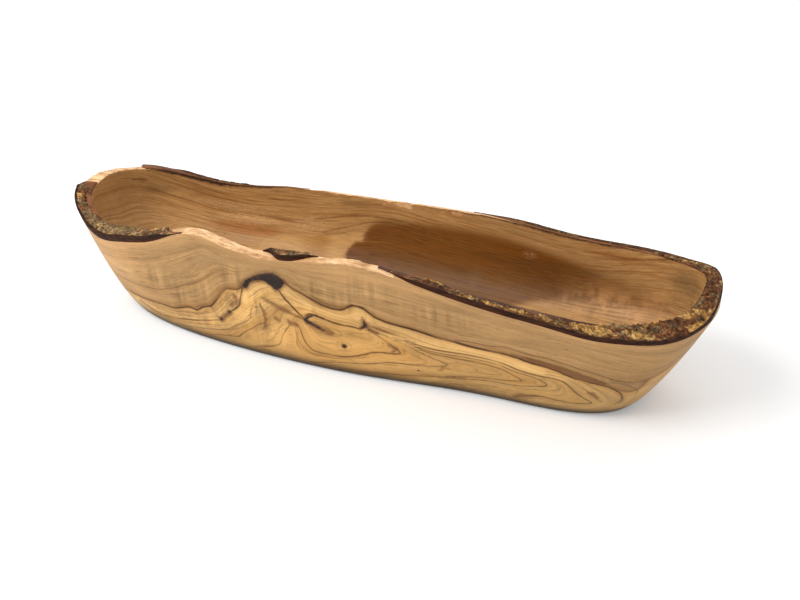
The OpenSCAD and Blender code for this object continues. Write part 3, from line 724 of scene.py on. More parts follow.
def trough_age(cx, y, way_down):
    """The trough's fibres run along the bowl and arch round the small knot."""
    run_x, run_v = np.array(TROUGH_RUN, float).T
    soft_run = sum(np.interp(cx + shift, run_x, run_v) for shift in (0, -9, 9))
    lean = soft_run / 3 * smooth(-30, 10, y) * smooth(100, 40, way_down)
    floor_run = 100 - 1.2 * np.abs(y) - 6 * np.cos(cx / 70)
    across = mixed(way_down, floor_run, smooth(50, 84, way_down))
    return 60 + 0.55 * (across - lean) + 0.02 * np.abs(y)


def wood_values(x, y, z, part, way_down):
    """The numbers per vertex that the wood's material draws its figure from."""
    cx = x - FIGURE_AT
    on_wall, trough = part == WALL, part == TROUGH
    near_w, far_w = smooth(0.3, 0.8, -y / 55), smooth(0.3, 0.8, y / 55)
    near_wall, far_trough = on_wall & (y < -20), trough & (y > -8)

    # the far wall has the near wall's figure mirrored, without the knot
    mirror_at, shorter, taller = 22, 0.97, 1.2
    fx = np.where(y > 0, mirror_at - shorter * cx, cx)
    fz = np.where(y > 0, taller * z, z)
    factor = np.ones(len(x))
    factor[: len(BASE_STEPS)] = smooth(0.72, 1.0, BASE_STEPS)
    outer = (part <= WALL) * factor[:, None] * np.maximum(near_w, far_w)
    age = wall_age(cx, x, y, z, fx, fz, outer)
    values = {"age": np.where(trough, trough_age(cx, y, way_down), age)}

    near_k = np.where(on_wall & (y < 0), near_w, 0)
    far_k = np.where(on_wall & (y >= 0), far_w * 0.8, 0)
    in_k = np.where(trough & (y > -5), 1.0, 0)
    far_lines = [line for line in WALL_LINES if line[3]]
    for end, wall_lines, on_far, in_trough in (
        ("", WALL_LINES, far_lines, TROUGH_LINES),
        ("_2", WALL_FINE, [], TROUGH_FINE),
    ):
        near = line_values(cx, z, wall_lines)
        far = line_values(fx, fz, on_far)
        deep = line_values(cx, way_down, in_trough)
        for k, name in enumerate(("line_side", "line_away", "line_half", "line_dark")):
            values[name + end] = np.where(near_k > 0, near[k], np.where(far_k > 0, far[k], deep[k]))
        values["line_dark" + end] *= near_k + far_k + in_k

    def drawn(reach, on_near, in_trough, none):
        """Shapes of the near wall and the trough, and none elsewhere."""
        out = np.where(near_wall, reach(cx, z, on_near), none) if on_near else none + 0 * x
        return np.where(far_trough, reach(cx, way_down, in_trough), out) if in_trough else out

    values["black"] = drawn(stroke_depth, BLACK_STROKES, TROUGH_BLACK, -3)
    values["brown"] = drawn(stroke_depth, BROWN_STROKES, TROUGH_BROWN, -3)
    values["knot"] = drawn(patch_depth, KNOT, None, -9)
    values["warm"] = drawn(patch_depth, None, WARM_PATCH, -9)
    values["pale"] = drawn(patch_depth, None, PALE_PATCH, -9)
    for name, zones in (
        ("sheen", SHEEN_ZONES), ("ruddy", RUDDY_ZONES), ("mottled", MOTTLED_ZONES), ("grey", GREY_ZONES),
    ):
        values[name] = blobs(cx, way_down, zones) * far_trough
    # tone of the wall and the trough, with painted shade on the trough's right part
    tone = np.where(on_wall, near_w * blobs(cx, z, WALL_TONES), 0)
    values["tone"] = np.where(trough, blobs(cx, way_down, TROUGH_TONES_AND_SHADE) * smooth(-20, 0, y), tone)
    ripple = 0 * x
    for px, pz, rx, rz in RIPPLES:
        ripple = np.maximum(ripple, np.exp(-(((cx - px) / rx) ** 2) - ((z - pz) / rz) ** 2))
    values.update(ripple=ripple * on_wall * near_w, inside=trough * 1.0, place_x=cx, way_down=way_down)
    return values


def build_bowl():
    def step(y):
        return np.where(y < -25, NEAR_STEP, np.where(y < 30, END_STEP, FAR_STEP))

    places = spread(0, 4, step)[:-1]
    q = on_square(places)
    height, inside, bare = rim_height(q), rim_inside(q), 1 - barked(places)
    uneven = soft_noise(np.stack([places * 90, 0 * places, 0 * places], -1), 5)
    ease = mixed(BARKED_EDGE, BARE_EDGE, bare) * (1 + 0.35 * uneven)
    rings, part, way_down = bowl_rings(q, height, inside, ease)

    # the bare rim keeps the ridges of the wood under the bark, and the far rim has chips
    x, y, z = rings[..., 0], rings[..., 1], rings[..., 2]
    ridges = fractal(np.stack([x * 0.16, y * 0.7, z * 0.3], -1), 4, 11, 0.6)
    lumpy = fractal(np.stack([x * 0.05, y * 0.15, 0 * z], -1), 3, 23)
    on_rim = (part == RIM) * bare
    rings[..., 2] += on_rim * np.minimum(0.5 * ridges + 0.4 * lumpy - 0.4, 0.05)
    rings[..., 1] -= on_rim * 0.18 * ridges * np.sign(y)
    chip = sum(d * np.exp(-(((places - p) / r) ** 4)) for p, r, d in CHIPS)
    bite = chip * smooth(11, 0, np.abs(z - height)) * (y > 0)
    inner_side = (part >= RIM) * smooth(57.5, 54.5, np.abs(y))
    rough = 0.6 + 0.5 * fractal(rings * 0.35, 3, 31)
    rings[..., 2] -= (part == RIM) * bite * 0.3 * rough
    rings[..., 1] += inner_side * bite * 0.35 * rough

    values = wood_values(x, y, z, part, way_down)
    pale_chip = np.clip(chip / 1.6, 0, 1) * inner_side * smooth(4.5, 1.5, np.abs(z - height - 0.5))
    values["bare"] = np.maximum(on_rim, pale_chip * rough)
    return make_mesh("carved_bowl", rings, values, [(BASE_SHIFT, 0, 0), (0, 0, FLOOR_T)])


# ---------------------------------------------------------------- bark
def end_taper(place, span, reach):
    """1 along a strip and 0 at its two broken ends."""
    rise = smooth(span[0], span[0] + reach[0], place)
    return np.minimum(rise, smooth(span[1], span[1] - reach[1], place))


def bark_bed(strip):
    """Where a strip of bark lies on the rim, and how high its inner bark is."""
    bed = SimpleNamespace(strip=strip)
    bed.places = spread(*strip.span, lambda y: np.where(y < 20, BARK_STEP, FAR_BARK_STEP))
    bed.q = on_square(bed.places)
    bed.height = rim_height(bed.q)
    bed.inside = rim_inside(bed.q)
    bed.thick = bark_thickness(bed.inside)
    step = np.linalg.norm(np.diff(wall_at(bed.q, bed.height), axis=0), axis=1)
    bed.along = np.cumsum(np.concatenate([[0], step]))
    bed.start, bed.end = strip.starts(bed.places), strip.ends(bed.places)
    bed.top = INNER_SHARE * bed.thick * mixed(0.10, 1, end_taper(bed.places, strip.span, strip.reach))
    return bed


def bark_at(bed, s, lift, out=0.0):
    """Points on the rim, lifted off the wood and moved out."""
    p = rim_at(bed.q, bed.height, bed.inside, s, lift)
    away = p * (1, 4, 0)
    away /= np.linalg.norm(away, axis=1)[:, None]
    return p + away * np.asarray(out)[..., None]


def bark_noise(bed, s, scale, seed, octaves=3):
    p = np.stack([bed.along * scale[0], s * 8 * scale[1], 0 * bed.along + 3.3 * seed], -1)
    return fractal(p, octaves, seed)


def bark_rings(bed, low, high, last, count, relief):
    """Rings across the strip: up the sanded outer side, over the top, down the inner side.
    Says too where the bark is cut, and the share of the rim's width at which each ring is."""
    first, zero = bed.start, 0 * bed.places
    rings = [bark_at(bed, first, low - 0.25, zero - 0.25), bark_at(bed, first, low, zero + 0.05)]
    for t in (0.3, 0.6, 0.86, 0.97):
        lift = mixed(low, high + relief(first, 0.25), t)
        rings.append(bark_at(bed, first, lift, 0.05 + 0.05 * relief(first, 1.0)))
    cut, share = [1.0] * len(rings), [first] * len(rings)
    for t in np.linspace(0.035, 1, count):
        s = mixed(first, last, t)
        edge = smooth(0.0, 0.16, t) * 0.7 + 0.3
        dome = 1 - 0.6 * smooth(0.86, 1.0, t)
        rings.append(bark_at(bed, s, low + (high - low) * dome + relief(s, edge)))
        cut.append(1.0 if t < bed.strip.edge else 0.0)
        share.append(s)
    for drop, back in ((0.02, 1.0), (-0.3, 0.985)):
        rings.append(bark_at(bed, mixed(first, last, back), low + drop))
        cut.append(1.0)
        share.append(last)
    return np.swapaxes(np.array(rings), 0, 1), np.array(cut) + 0 * zero[:, None], np.array(share).T


def build_inner_bark(bed):
    """Inner bark: smooth, gently wavy."""
    def waves(s, k):
        wide, fine = bark_noise(bed, s, (0.12, 0.4), 41), bark_noise(bed, s, (0.6, 1.5), 47)
        return k * bed.top * (0.10 * wide + 0.06 * fine)

    ragged = 0.03 * bark_noise(bed, 0 * bed.places, (0.25, 0), 3)
    last = np.clip(bed.end + ragged, bed.start + 0.05, 1.0)
    rings, cut, _ = bark_rings(bed, 0 * bed.top, bed.top, last, 12, waves)
    values = {"cut": cut, "purple": bed.strip.purple(bed.places[:, None] + 0 * cut)}
    return make_mesh(bed.strip.side + "_bark_smooth", rings, values)


def crust_plates(along, s):
    """The crust's plates: how near a plate's border is, and a number per plate."""
    p = np.stack([along, s * RIM_SPAN, 0 * along], -1) * (0.42, 0.62, 1)
    return flakes(p + 0.4 * np.stack([soft_noise(p * 1.7, 3), soft_noise(p * 1.7, 4), 0 * s], -1), 81)


def build_crust(bed):
    """Crust: flaky, lumpy, broken along its inner border."""
    strip, places, zero = bed.strip, bed.places, 0 * bed.places
    taper = end_taper(places, strip.crust_span, strip.crust_reach)

    def bumps(s, k):
        edge, number = crust_plates(bed.along, s)
        fine = fractal(np.stack([bed.along, s * RIM_SPAN, zero], -1) * 0.9, 3, 83, 0.6)
        level = np.minimum(0.55 * number + 0.4 * fine - 0.3, 0.2) - 0.6 * smooth(0.22, 0.0, edge)
        return k * strip.lump(places) * taper * level

    top = bed.top + (1 - INNER_SHARE) * bed.thick * mixed(0.1, 1, taper)
    ragged = 0.10 * bark_noise(bed, zero, (0.16, 0), 71) + 0.07 * bark_noise(bed, zero, (0.9, 0), 77, 2)
    share = strip.crust_share(places) * mixed(0.4, 1, taper) + ragged
    last = np.clip(mixed(bed.start, bed.end, share), bed.start + 0.06, 1.0)
    keep = (places >= strip.crust_span[0]) & (places <= strip.crust_span[1])
    rings, cut, share = (part[keep] for part in bark_rings(bed, bed.top - 0.12, top, last, 14, bumps))
    along = bed.along[keep][:, None] + 0 * share
    edge, number = crust_plates(along, share)
    p = np.stack([along, share * RIM_SPAN, 0 * share], -1)
    where = places[keep][:, None] + 0 * share
    values = {
        "cut": cut,
        "crack": smooth(0.25, 0.02, edge),
        "flake": number,
        "gold": strip.gold(where, share) + 0.75 * fractal(p * (0.16, 0.3, 1), 4, 101, 0.6),
        "ruddy": strip.ruddy(where, share) + 0.75 * fractal(p * (0.2, 0.4, 1), 4, 131, 0.6),
        "dim": strip.dim(where),
    }
    return make_mesh(strip.side + "_bark_crust", rings, values)


def stretch(p, a, b, soft=0.02):
    """1 from place a to place b, 0 beyond."""
    return smooth(a - soft, a + soft, p) * smooth(b + soft, b - soft, p)


def steady(value):
    """The same value all along a strip."""
    return lambda p, *_: value + 0 * p


def right_crust_share(p):
    share = 0.62 + 0.3 * stretch(p, 0.6, 0.66) - 0.1 * stretch(p, 0.68, 0.9)
    return share + 0.38 * smooth(0.88, 1.02, p) - 0.25 * smooth(1.9, 2.05, p)


def right_gold(p, s):
    gold = -0.3 + 1.1 * stretch(p, 0.6, 0.665) * smooth(0.45, 0.65, s)
    gold = gold + 0.75 * stretch(p, 0.7, 1.1) * smooth(0.08, 0.22, s)
    return gold + 0.5 * stretch(p, 1.2, 1.36, 0.03) + 0.12 * stretch(p, 1.4, 1.9, 0.05)


# Strips of bark. starts and ends give the share of the rim's width, from the outer edge, at
# which the bark begins and ends at each place, and crust_share how much of that the crust
# takes. edge is the cut share of its top, and lump the height of its plates. gold, ruddy and
# dim colour the crust, and purple the inner bark.
STRIPS = [
    SimpleNamespace(
        side="left", span=(LEFT_BARK[0] - 0.005, LEFT_BARK[1] + 0.002), reach=(0.02, 0.06), edge=0.2,
        starts=lambda p: 0.4 * smooth(3.62, 3.575, p), ends=lambda p: 1 - 0.8 * smooth(4.17, 4.25, p),
        crust_share=lambda p: 0.62 + 0.3 * smooth(3.8, 3.95, p),
        crust_span=(3.62, 4.235), crust_reach=(0.03, 0.06), lump=steady(0.5),
        gold=lambda p, s: -0.2 + 0.2 * stretch(p, 3.7, 3.9), dim=steady(1.25),
        ruddy=lambda p, s: -0.1 + 0.15 * smooth(3.9, 3.75, p), purple=steady(0.0),
    ),
    SimpleNamespace(
        side="near", span=(NEAR_BARK[0] - 0.012, 0.47), reach=(0.03, 0.04), edge=0.1,
        starts=lambda p: 0.85 * (smooth(0.42, 0.385, p) + smooth(0.43, 0.468, p)), ends=steady(1.0),
        crust_share=steady(0.95), crust_span=(0.374, 0.47), crust_reach=(0.015, 0.02), lump=steady(0.5),
        gold=steady(-0.15), ruddy=steady(-0.1), dim=steady(0.95), purple=steady(0.3),
    ),
    SimpleNamespace(
        side="right", span=(RIGHT_BARK[0] - 0.015, RIGHT_BARK[1] + 0.005), reach=(0.07, 0.08), edge=0.1,
        starts=lambda p: 0.55 * smooth(0.62, 0.565, p), ends=lambda p: 1 - 0.7 * smooth(2.28, 2.395, p),
        crust_share=right_crust_share, crust_span=(0.58, 2.385), crust_reach=(0.08, 0.10),
        lump=lambda p: 0.6 + 0.5 * stretch(p, 1.05, 1.9, 0.08) - 0.15 * smooth(1.95, 2.05, p),
        gold=right_gold, dim=lambda p: 1 - 0.35 * smooth(1.85, 2.0, p),
        ruddy=lambda p, s: 0.1 + 0.4 * stretch(p, 0.6, 1.3, 0.04) + 0.42 * smooth(1.28, 1.38, p),
        purple=lambda p: stretch(p, 0.56, 0.95, 0.05),
    ),
    SimpleNamespace(
        side="far", span=(FAR_BARK[0] - 0.005, FAR_BARK[1] + 0.005), reach=(0.05, 0.02), edge=0.1,
        starts=lambda p: 0.45 * smooth(3.17, 3.205, p), ends=lambda p: 0.3 + 0.7 * smooth(2.685, 2.78, p),
        crust_share=steady(0.8), crust_span=(2.78, 3.05), crust_reach=(0.05, 0.06), lump=steady(0.5),
        gold=steady(-0.3), ruddy=steady(0.4), dim=steady(0.7), purple=steady(0.0),
    ),
]


# ---------------------------------------------------------------- materials
def colour(*rgb):
    """A colour written in 0 to 255 as on screen, in Blender's linear values."""
    on_screen = [c / 255 for c in rgb]
    return (*(c / 12.92 if c <= 0.04045 else ((c + 0.055) / 1.055) ** 2.4 for c in on_screen), 1.0)


class Shader:
    """The nodes of a material or a world."""

    def __init__(self, owner, output="ShaderNodeOutputMaterial"):
        owner.use_nodes = True
        self.owner, self.tree = owner, owner.node_tree
        self.tree.nodes.clear()
        self.output = self.node(output).inputs[0]

    @cached_property
    def coords(self):
        return self.node("ShaderNodeTexCoord").outputs["Object"]

    def node(self, kind, inputs=None, **settings):
        n = self.tree.nodes.new(kind)
        for key, value in settings.items():
            setattr(n, key, value)
        for key, value in (inputs or {}).items():
            if isinstance(value, bpy.types.NodeSocket):
                self.tree.links.new(value, n.inputs[key])
            else:
                n.inputs[key].default_value = value
        return n

    def attribute(self, name):
        return self.node("ShaderNodeAttribute", attribute_name=name).outputs["Fac"]

    def math(self, op, a, b=0.0, c=0.0):
        return self.node("ShaderNodeMath", {0: a, 1: b, 2: c}, operation=op).outputs[0]

    def times(self, a, b):
        return self.math("MULTIPLY", a, b)

    def minus(self, a, b):
        return self.math("SUBTRACT", a, b)

    def plus(self, a, b, share=1.0):
        """a + b * share"""
        return self.math("MULTIPLY_ADD", b, share, a)

    def total(self, start, *parts):
        """start plus the share of each part"""
        for part, share in parts:
            start = self.plus(start, part, share)
        return start

    def mix(self, mask, a, b):
        return self.node("ShaderNodeMix", {0: mask, 6: a, 7: b}, data_type="RGBA").outputs[2]

    def paint(self, under, mask, *rgb):
        """A colour laid on where the mask is 1."""
        return self.mix(mask, under, colour(*rgb))

    def shade(self, c, by):
        """Scales a colour's brightness."""
        return self.node("ShaderNodeHueSaturation", {"Value": by, "Color": c}).outputs[0]

    def between(self, v, low, high, to_low=0.0, to_high=1.0):
        inputs = {0: v, 1: low, 2: high, 3: to_low, 4: to_high}
        return self.node("ShaderNodeMapRange", inputs, interpolation_type="SMOOTHSTEP").outputs[0]

    def zone(self, name, noise, share, low, high, top=1.0):
        """0 to top where an attribute, made ragged by noise, passes from low to high."""
        return self.between(self.plus(self.attribute(name), noise, share), low, high, 0.0, top)

    def ramp(self, value, *stops):
        """Colours along a value, each as its place and its red, green and blue."""
        n = self.node("ShaderNodeValToRGB", {0: value})
        marks = n.color_ramp.elements
        while len(marks) < len(stops):
            marks.new(0.5)
        for mark, (at, *rgb) in zip(marks, stops):
            mark.position = at
            mark.color = colour(*rgb)
        return n.outputs[0]

    def texture(self, vector, scale, detail, rough):
        inputs = {"Vector": vector, "Scale": scale, "Detail": detail, "Roughness": rough}
        return self.node("ShaderNodeTexNoise", inputs).outputs["Fac"]

    def noise(self, scale, detail, rough, stretch=(1, 1, 1), shift=(0, 0, 0)):
        v = self.node("ShaderNodeMapping", {0: self.coords, 1: shift, 3: stretch}).outputs[0]
        return self.texture(v, scale, detail, rough)

    def swing(self, *noise):
        """Noise from -0.5 to 0.5."""
        return self.minus(self.noise(*noise), 0.5)

    def flow(self, x, y, scale, detail, rough):
        """Noise over a plane of two numbers, from -0.5 to 0.5."""
        v = self.node("ShaderNodeCombineXYZ", {0: x, 1: y}).outputs[0]
        return self.minus(self.texture(v, scale, detail, rough), 0.5)

    def surface(self, base, rough, height, strength, distance, specular):
        """Sends a rough surface with a bump to the output."""
        bump = self.node("ShaderNodeBump", {"Height": height, "Strength": strength, "Distance": distance})
        look = {"Base Color": base, "Roughness": rough, "Specular IOR Level": specular}
        return self.send(self.node("ShaderNodeBsdfPrincipled", {**look, "Normal": bump.outputs[0]}))

    def send(self, last):
        self.tree.links.new(last.outputs[0], self.output)
        return self.owner


def wood_grain(s):
    """The waviness and fibres that the wall and the trough share."""
    g = SimpleNamespace(x=s.attribute("place_x"), inside=s.attribute("inside"), tone=s.attribute("tone"))
    g.wave = s.swing(26, 3, 0.55, (0.35, 1, 1))
    g.wiggle = s.swing(210, 3, 0.55, (0.45, 1, 1), (0.3, 0, 0))
    g.age = s.total(s.attribute("age"), (g.wave, 0.7), (g.wiggle, 0.5))
    g.fibre = s.swing(150, 4, 0.6, (0.09, 1.0, 1.0))
    g.hair = s.swing(900, 3, 0.6, (0.06, 1.0, 1.0))
    g.cross = s.swing(230, 2, 0.5, (1.0, 0.1, 0.07))
    return g


def wall_colour(s, g):
    """The outer wall: sapwood above, golden heartwood below."""
    wall = s.ramp(
        s.math("DIVIDE", g.age, 60.0),
        (0.00, 211, 163, 110), (0.08, 206, 160, 105), (0.14, 197, 152, 99), (0.20, 203, 159, 105),
        (0.26, 191, 148, 95), (0.31, 198, 154, 102), (0.345, 181, 138, 86), (0.362, 158, 114, 64),
        (0.374, 214, 164, 97), (0.42, 235, 188, 121), (0.46, 219, 170, 101), (0.51, 233, 185, 117),
        (0.55, 212, 160, 91), (0.60, 227, 177, 108), (0.66, 214, 161, 92), (0.72, 225, 173, 103),
        (1.0, 190, 140, 72),
    )
    long_x = s.times(g.x, 0.022)
    light = s.total(
        1.02,
        (s.flow(long_x, g.age, 1.1, 4, 0.62), 0.8),
        (s.flow(long_x, s.times(g.age, 0.9), 0.28, 2, 0.5), 0.6),
        (s.flow(s.times(g.x, 0.05), g.age, 4.0, 3, 0.6), 0.5),
        (g.fibre, 0.3),
        (g.hair, 0.24),
        (s.times(s.attribute("ripple"), g.cross), 1.7),
        (s.swing(48, 4, 0.62, (0.55, 1, 1), (0.7, 0, 0)), 0.5),
        (g.tone, 1.0),
    )
    # painted shade: darker towards the base, as contact shadow and the shade under the under-edge, in
    # metres above it
    height = s.node("ShaderNodeSeparateXYZ", {0: s.coords}).outputs[2]
    light = s.times(light, s.between(s.plus(height, g.wave, 0.006), -0.002, 0.012, 0.4, 1.0))
    light = s.times(light, s.between(height, 0.0004, 0.0085, 0.08, 1.0))
    figure = s.between(s.flow(long_x, g.age, 2.1, 3, 0.5), 0.09, 0.18, 0.0, 0.5)
    return s.paint(s.shade(wall, light), figure, 142, 94, 48)


def trough_warmth(s, g, trough, streak, thin, down, seen):
    """The orange right half of the trough's far side."""
    orange = s.ramp(streak, (0.3, 88, 48, 5), (0.42, 128, 74, 16), (0.54, 104, 58, 9), (0.7, 152, 98, 32))
    pinker = s.ramp(streak, (0.3, 84, 47, 8), (0.5, 104, 62, 12), (0.74, 126, 80, 24))
    orange = s.mix(s.between(s.plus(down, g.wave, 8.0), 30, 42), orange, pinker)
    warm = s.attribute("warm")
    crisp = s.between(s.total(warm, (thin, 7.0), (g.wave, 6.0)), -0.8, 2.2, 0.0, 0.94)
    soft = s.between(s.total(warm, (thin, 9.0), (g.wave, 8.0)), -3.0, 5.0, 0.0, 0.9)
    mask = s.mix(s.between(s.plus(g.x, g.wave, 16.0), -36, -8), crisp, soft)
    mask = s.times(s.times(mask, seen), s.between(s.plus(g.x, g.wave, 40.0), 188, 98, 0.15, 1.0))
    return s.mix(mask, trough, orange)


def trough_paleness(s, g, trough, thin, seen):
    """The pale patch to the left of the orange part."""
    mask = s.between(s.total(s.attribute("pale"), (thin, 2.6), (g.wiggle, 1.5)), -0.6, 1.0, 0.0, 0.8)
    mask = s.times(mask, s.between(g.x, -112, -76, 0.55, 1.0))
    left = s.between(s.plus(g.x, g.wave, 14.0), -82, -66)
    pale = s.mix(left, colour(204, 158, 96), colour(176, 128, 68))
    pale = s.paint(pale, s.between(s.plus(g.x, g.wave, 10.0), -62, -52), 204, 158, 98)
    return s.mix(s.times(mask, seen), trough, pale)


def trough_colour(s, g):
    """The trough: redder, with long streaks."""
    streak = s.plus(s.flow(s.times(g.x, 0.016), g.age, 0.62, 5, 0.66), 0.5)
    thin = s.flow(s.times(g.x, 0.03), g.age, 3.2, 4, 0.62)
    trough = s.ramp(
        streak,
        (0.28, 130, 88, 43), (0.42, 172, 126, 74), (0.52, 192, 148, 94), (0.62, 162, 117, 66),
        (0.74, 210, 168, 114),
    )
    ruddy = s.ramp(streak, (0.3, 140, 85, 36), (0.5, 170, 108, 52), (0.7, 152, 96, 42))
    trough = s.mix(s.times(s.zone("ruddy", thin, 0.9, 0.2, 0.8), 0.75), trough, ruddy)
    down = s.attribute("way_down")
    seen = s.between(s.plus(down, g.wave, 12.0), 84, 50)
    trough = trough_warmth(s, g, trough, streak, thin, down, seen)
    trough = trough_paleness(s, g, trough, thin, seen)
    mottled = s.attribute("mottled")
    mottle = s.between(s.noise(105, 3, 0.6, (0.7, 0.5, 0.5)), 0.42, 0.6, 0.0, 0.75)
    trough = s.paint(trough, s.times(mottled, mottle), 204, 152, 96)
    trough = s.paint(trough, s.zone("grey", thin, 0.6, 0.25, 0.85, 0.62), 128, 102, 66)
    # painted sheen: pale dots of highlight in the trough's sheen zones
    sheen_dots = s.between(s.noise(2400, 2, 0.6, (0.5, 1, 1)), 0.47, 0.62)
    sheen_dots = s.times(sheen_dots, s.zone("sheen", thin, 0.8, 0.25, 0.8))
    trough = s.paint(trough, s.times(sheen_dots, 0.5), 230, 192, 146)
    light = s.total(1.0, (thin, 1.15), (g.fibre, 0.45), (g.hair, 0.3))
    # the tone brings painted shade to the trough's right part
    return s.shade(trough, s.total(light, (s.times(mottled, g.cross), 0.5), (g.tone, 1.2)))


def drawn_lines(s, g, wood):
    """The drawn lines, a hair wavy and of uneven strength, each with a faint halo."""
    patchy = s.between(s.noise(75, 3, 0.6, (0.6, 1, 1)), 0.30, 0.56, 0.4, 1.0)
    ink = s.mix(g.inside, colour(70, 40, 20), colour(84, 48, 18))
    for end in ("_2", ""):
        half = s.plus(s.attribute("line_half" + end), g.wiggle, 0.5)
        side = s.math("ABSOLUTE", s.plus(s.attribute("line_side" + end), g.wiggle, 1.5))
        core = s.between(s.minus(side, half), 0.26, -0.16)
        wide = s.math("MAXIMUM", s.minus(half, 0.45), 0.0)
        away = s.minus(s.attribute("line_away" + end), wide)
        dark = s.times(s.attribute("line_dark" + end), patchy)
        halo = s.times(s.between(away, 2.4, 0.2, 0.0, 0.26), dark)
        line = s.times(s.times(core, s.between(away, 1.0, 0.72)), dark)
        wood = s.mix(line, s.paint(wood, halo, 140, 94, 50), ink)
    return wood


def stains(s, wood):
    """Brown stains, the knot in its dark surround, and black stains."""
    rag = s.swing(330, 4, 0.65, (0.7, 1, 1))
    wood = s.paint(wood, s.zone("brown", rag, 2.4, -0.7, 0.8, 0.72), 126, 80, 46)
    wood = s.paint(wood, s.zone("knot", rag, 5.0, -3.4, 0.2, 0.7), 112, 72, 46)
    veins = s.noise(150, 5, 0.65, (0.5, 1, 0.8))
    knot = s.ramp(veins, (0.4, 22, 14, 11), (0.52, 38, 26, 20), (0.62, 74, 52, 38))
    wood = s.mix(s.zone("knot", rag, 2.6, -0.6, 0.5, 0.97), wood, knot)
    wood = s.paint(wood, s.zone("black", rag, 1.6, -0.8, 0.2, 0.6), 102, 66, 46)
    return s.paint(wood, s.zone("black", rag, 1.6, -0.1, 0.45, 0.92), 48, 32, 27)


def wood_material():
    s = Shader(bpy.data.materials.new("olive_wood"))
    g = wood_grain(s)
    wood = s.mix(g.inside, wall_colour(s, g), trough_colour(s, g))
    # the bare rim: pale new wood, and its palest streaks are painted highlight
    bare = s.ramp(
        s.noise(320, 4, 0.65, (0.22, 1, 1)),
        (0.30, 156, 106, 66), (0.42, 206, 154, 104), (0.54, 242, 196, 144), (0.72, 255, 226, 178),
    )
    wood = s.mix(s.between(s.attribute("bare"), 0.35, 0.6), wood, bare)
    wood = stains(s, drawn_lines(s, g, wood))
    pores = s.between(s.noise(1700, 1, 0.5, (0.1, 1, 1)), 0.65, 0.74, 0.0, 0.34)
    rough = s.between(s.noise(60, 3, 0.6, (0.3, 1, 1)), 0.3, 0.7, 0.38, 0.52)
    relief = s.plus(s.times(g.hair, 0.6), pores, -0.8)
    return s.surface(s.paint(wood, pores, 96, 60, 34), rough, relief, 0.25, 0.00025, 0.22)


def inner_bark_material():
    s = Shader(bpy.data.materials.new("inner_bark"))
    n = s.noise(170, 4, 0.62, (0.22, 1, 1))
    top = s.ramp(n, (0.3, 78, 42, 26), (0.45, 112, 68, 42), (0.58, 140, 92, 58), (0.74, 104, 62, 40))
    plum = s.ramp(n, (0.3, 62, 40, 32), (0.46, 88, 60, 46), (0.6, 118, 84, 62), (0.75, 80, 54, 42))
    top = s.mix(s.attribute("purple"), top, plum)
    grain = s.noise(520, 3, 0.6, (0.12, 1, 1))
    side = s.ramp(grain, (0.3, 40, 18, 8), (0.5, 66, 32, 16), (0.72, 96, 54, 28))
    both = s.mix(s.between(s.attribute("cut"), 0.35, 0.75), top, side)
    return s.surface(both, 0.62, grain, 0.35, 0.0004, 0.12)


def crust_material():
    s = Shader(bpy.data.materials.new("bark_crust"))
    level = s.plus(s.noise(560, 5, 0.7), s.swing(180, 3, 0.6), 0.7)
    body = s.ramp(
        level,
        (0.26, 40, 28, 18), (0.38, 84, 62, 38), (0.50, 124, 98, 64), (0.62, 156, 128, 88),
        (0.78, 202, 174, 128),
    )
    red = s.ramp(level, (0.28, 54, 28, 14), (0.44, 98, 58, 30), (0.58, 138, 88, 50), (0.76, 180, 130, 84))
    gold = s.ramp(
        level, (0.28, 118, 78, 36), (0.44, 182, 132, 66), (0.6, 222, 176, 106), (0.76, 240, 208, 150)
    )
    body = s.mix(s.between(s.attribute("ruddy"), 0.1, 0.45), body, red)
    body = s.mix(s.zone("gold", s.attribute("flake"), 0.12, 0.15, 0.45), body, gold)
    # painted shade in the cracks between the crust's plates
    body = s.paint(body, s.times(s.attribute("crack"), 0.72), 44, 27, 17)
    grain = s.noise(520, 3, 0.6, (0.12, 1, 1))
    side = s.ramp(grain, (0.3, 26, 14, 8), (0.52, 56, 30, 16), (0.74, 92, 54, 30))
    cut = s.between(s.attribute("cut"), 0.35, 0.75)
    body = s.mix(cut, s.shade(body, s.attribute("dim")), side)
    return s.surface(body, 0.8, level, 0.8, 0.0008, 0.2)


# ---------------------------------------------------------------- putting it together
def dress(piece, material, node, sharp_degrees):
    """Gives a piece its material and sharp edges, puts it under the root body and hides the node that it
    replaces.
    """
    piece.data.materials.append(material)
    piece.data.set_sharp_from_angle(angle=math.radians(sharp_degrees))
    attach(piece, "root")
    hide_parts(node)


wood, inner_bark, crust = wood_material(), inner_bark_material(), crust_material()
dress(build_bowl(), wood, "bowl_body", 50)
for strip in STRIPS:
    bed = bark_bed(strip)
    dress(build_inner_bark(bed), inner_bark, strip.side + "_inner_bark", 60)
    dress(build_crust(bed), crust, strip.side + "_bark_crust", 60)

# ---------------------------------------------------------------- floor, light and camera
scene = bpy.context.scene
scene.view_settings.view_transform = "Standard"
FLOOR_SIZE, FLOOR_LOW = 12.0, 0.0003
FLOOR_GREY, FLOOR_SEEN, FLOOR_GLOW, SKY_LIGHT = 0.5, 0.86, 0.2, 0.68


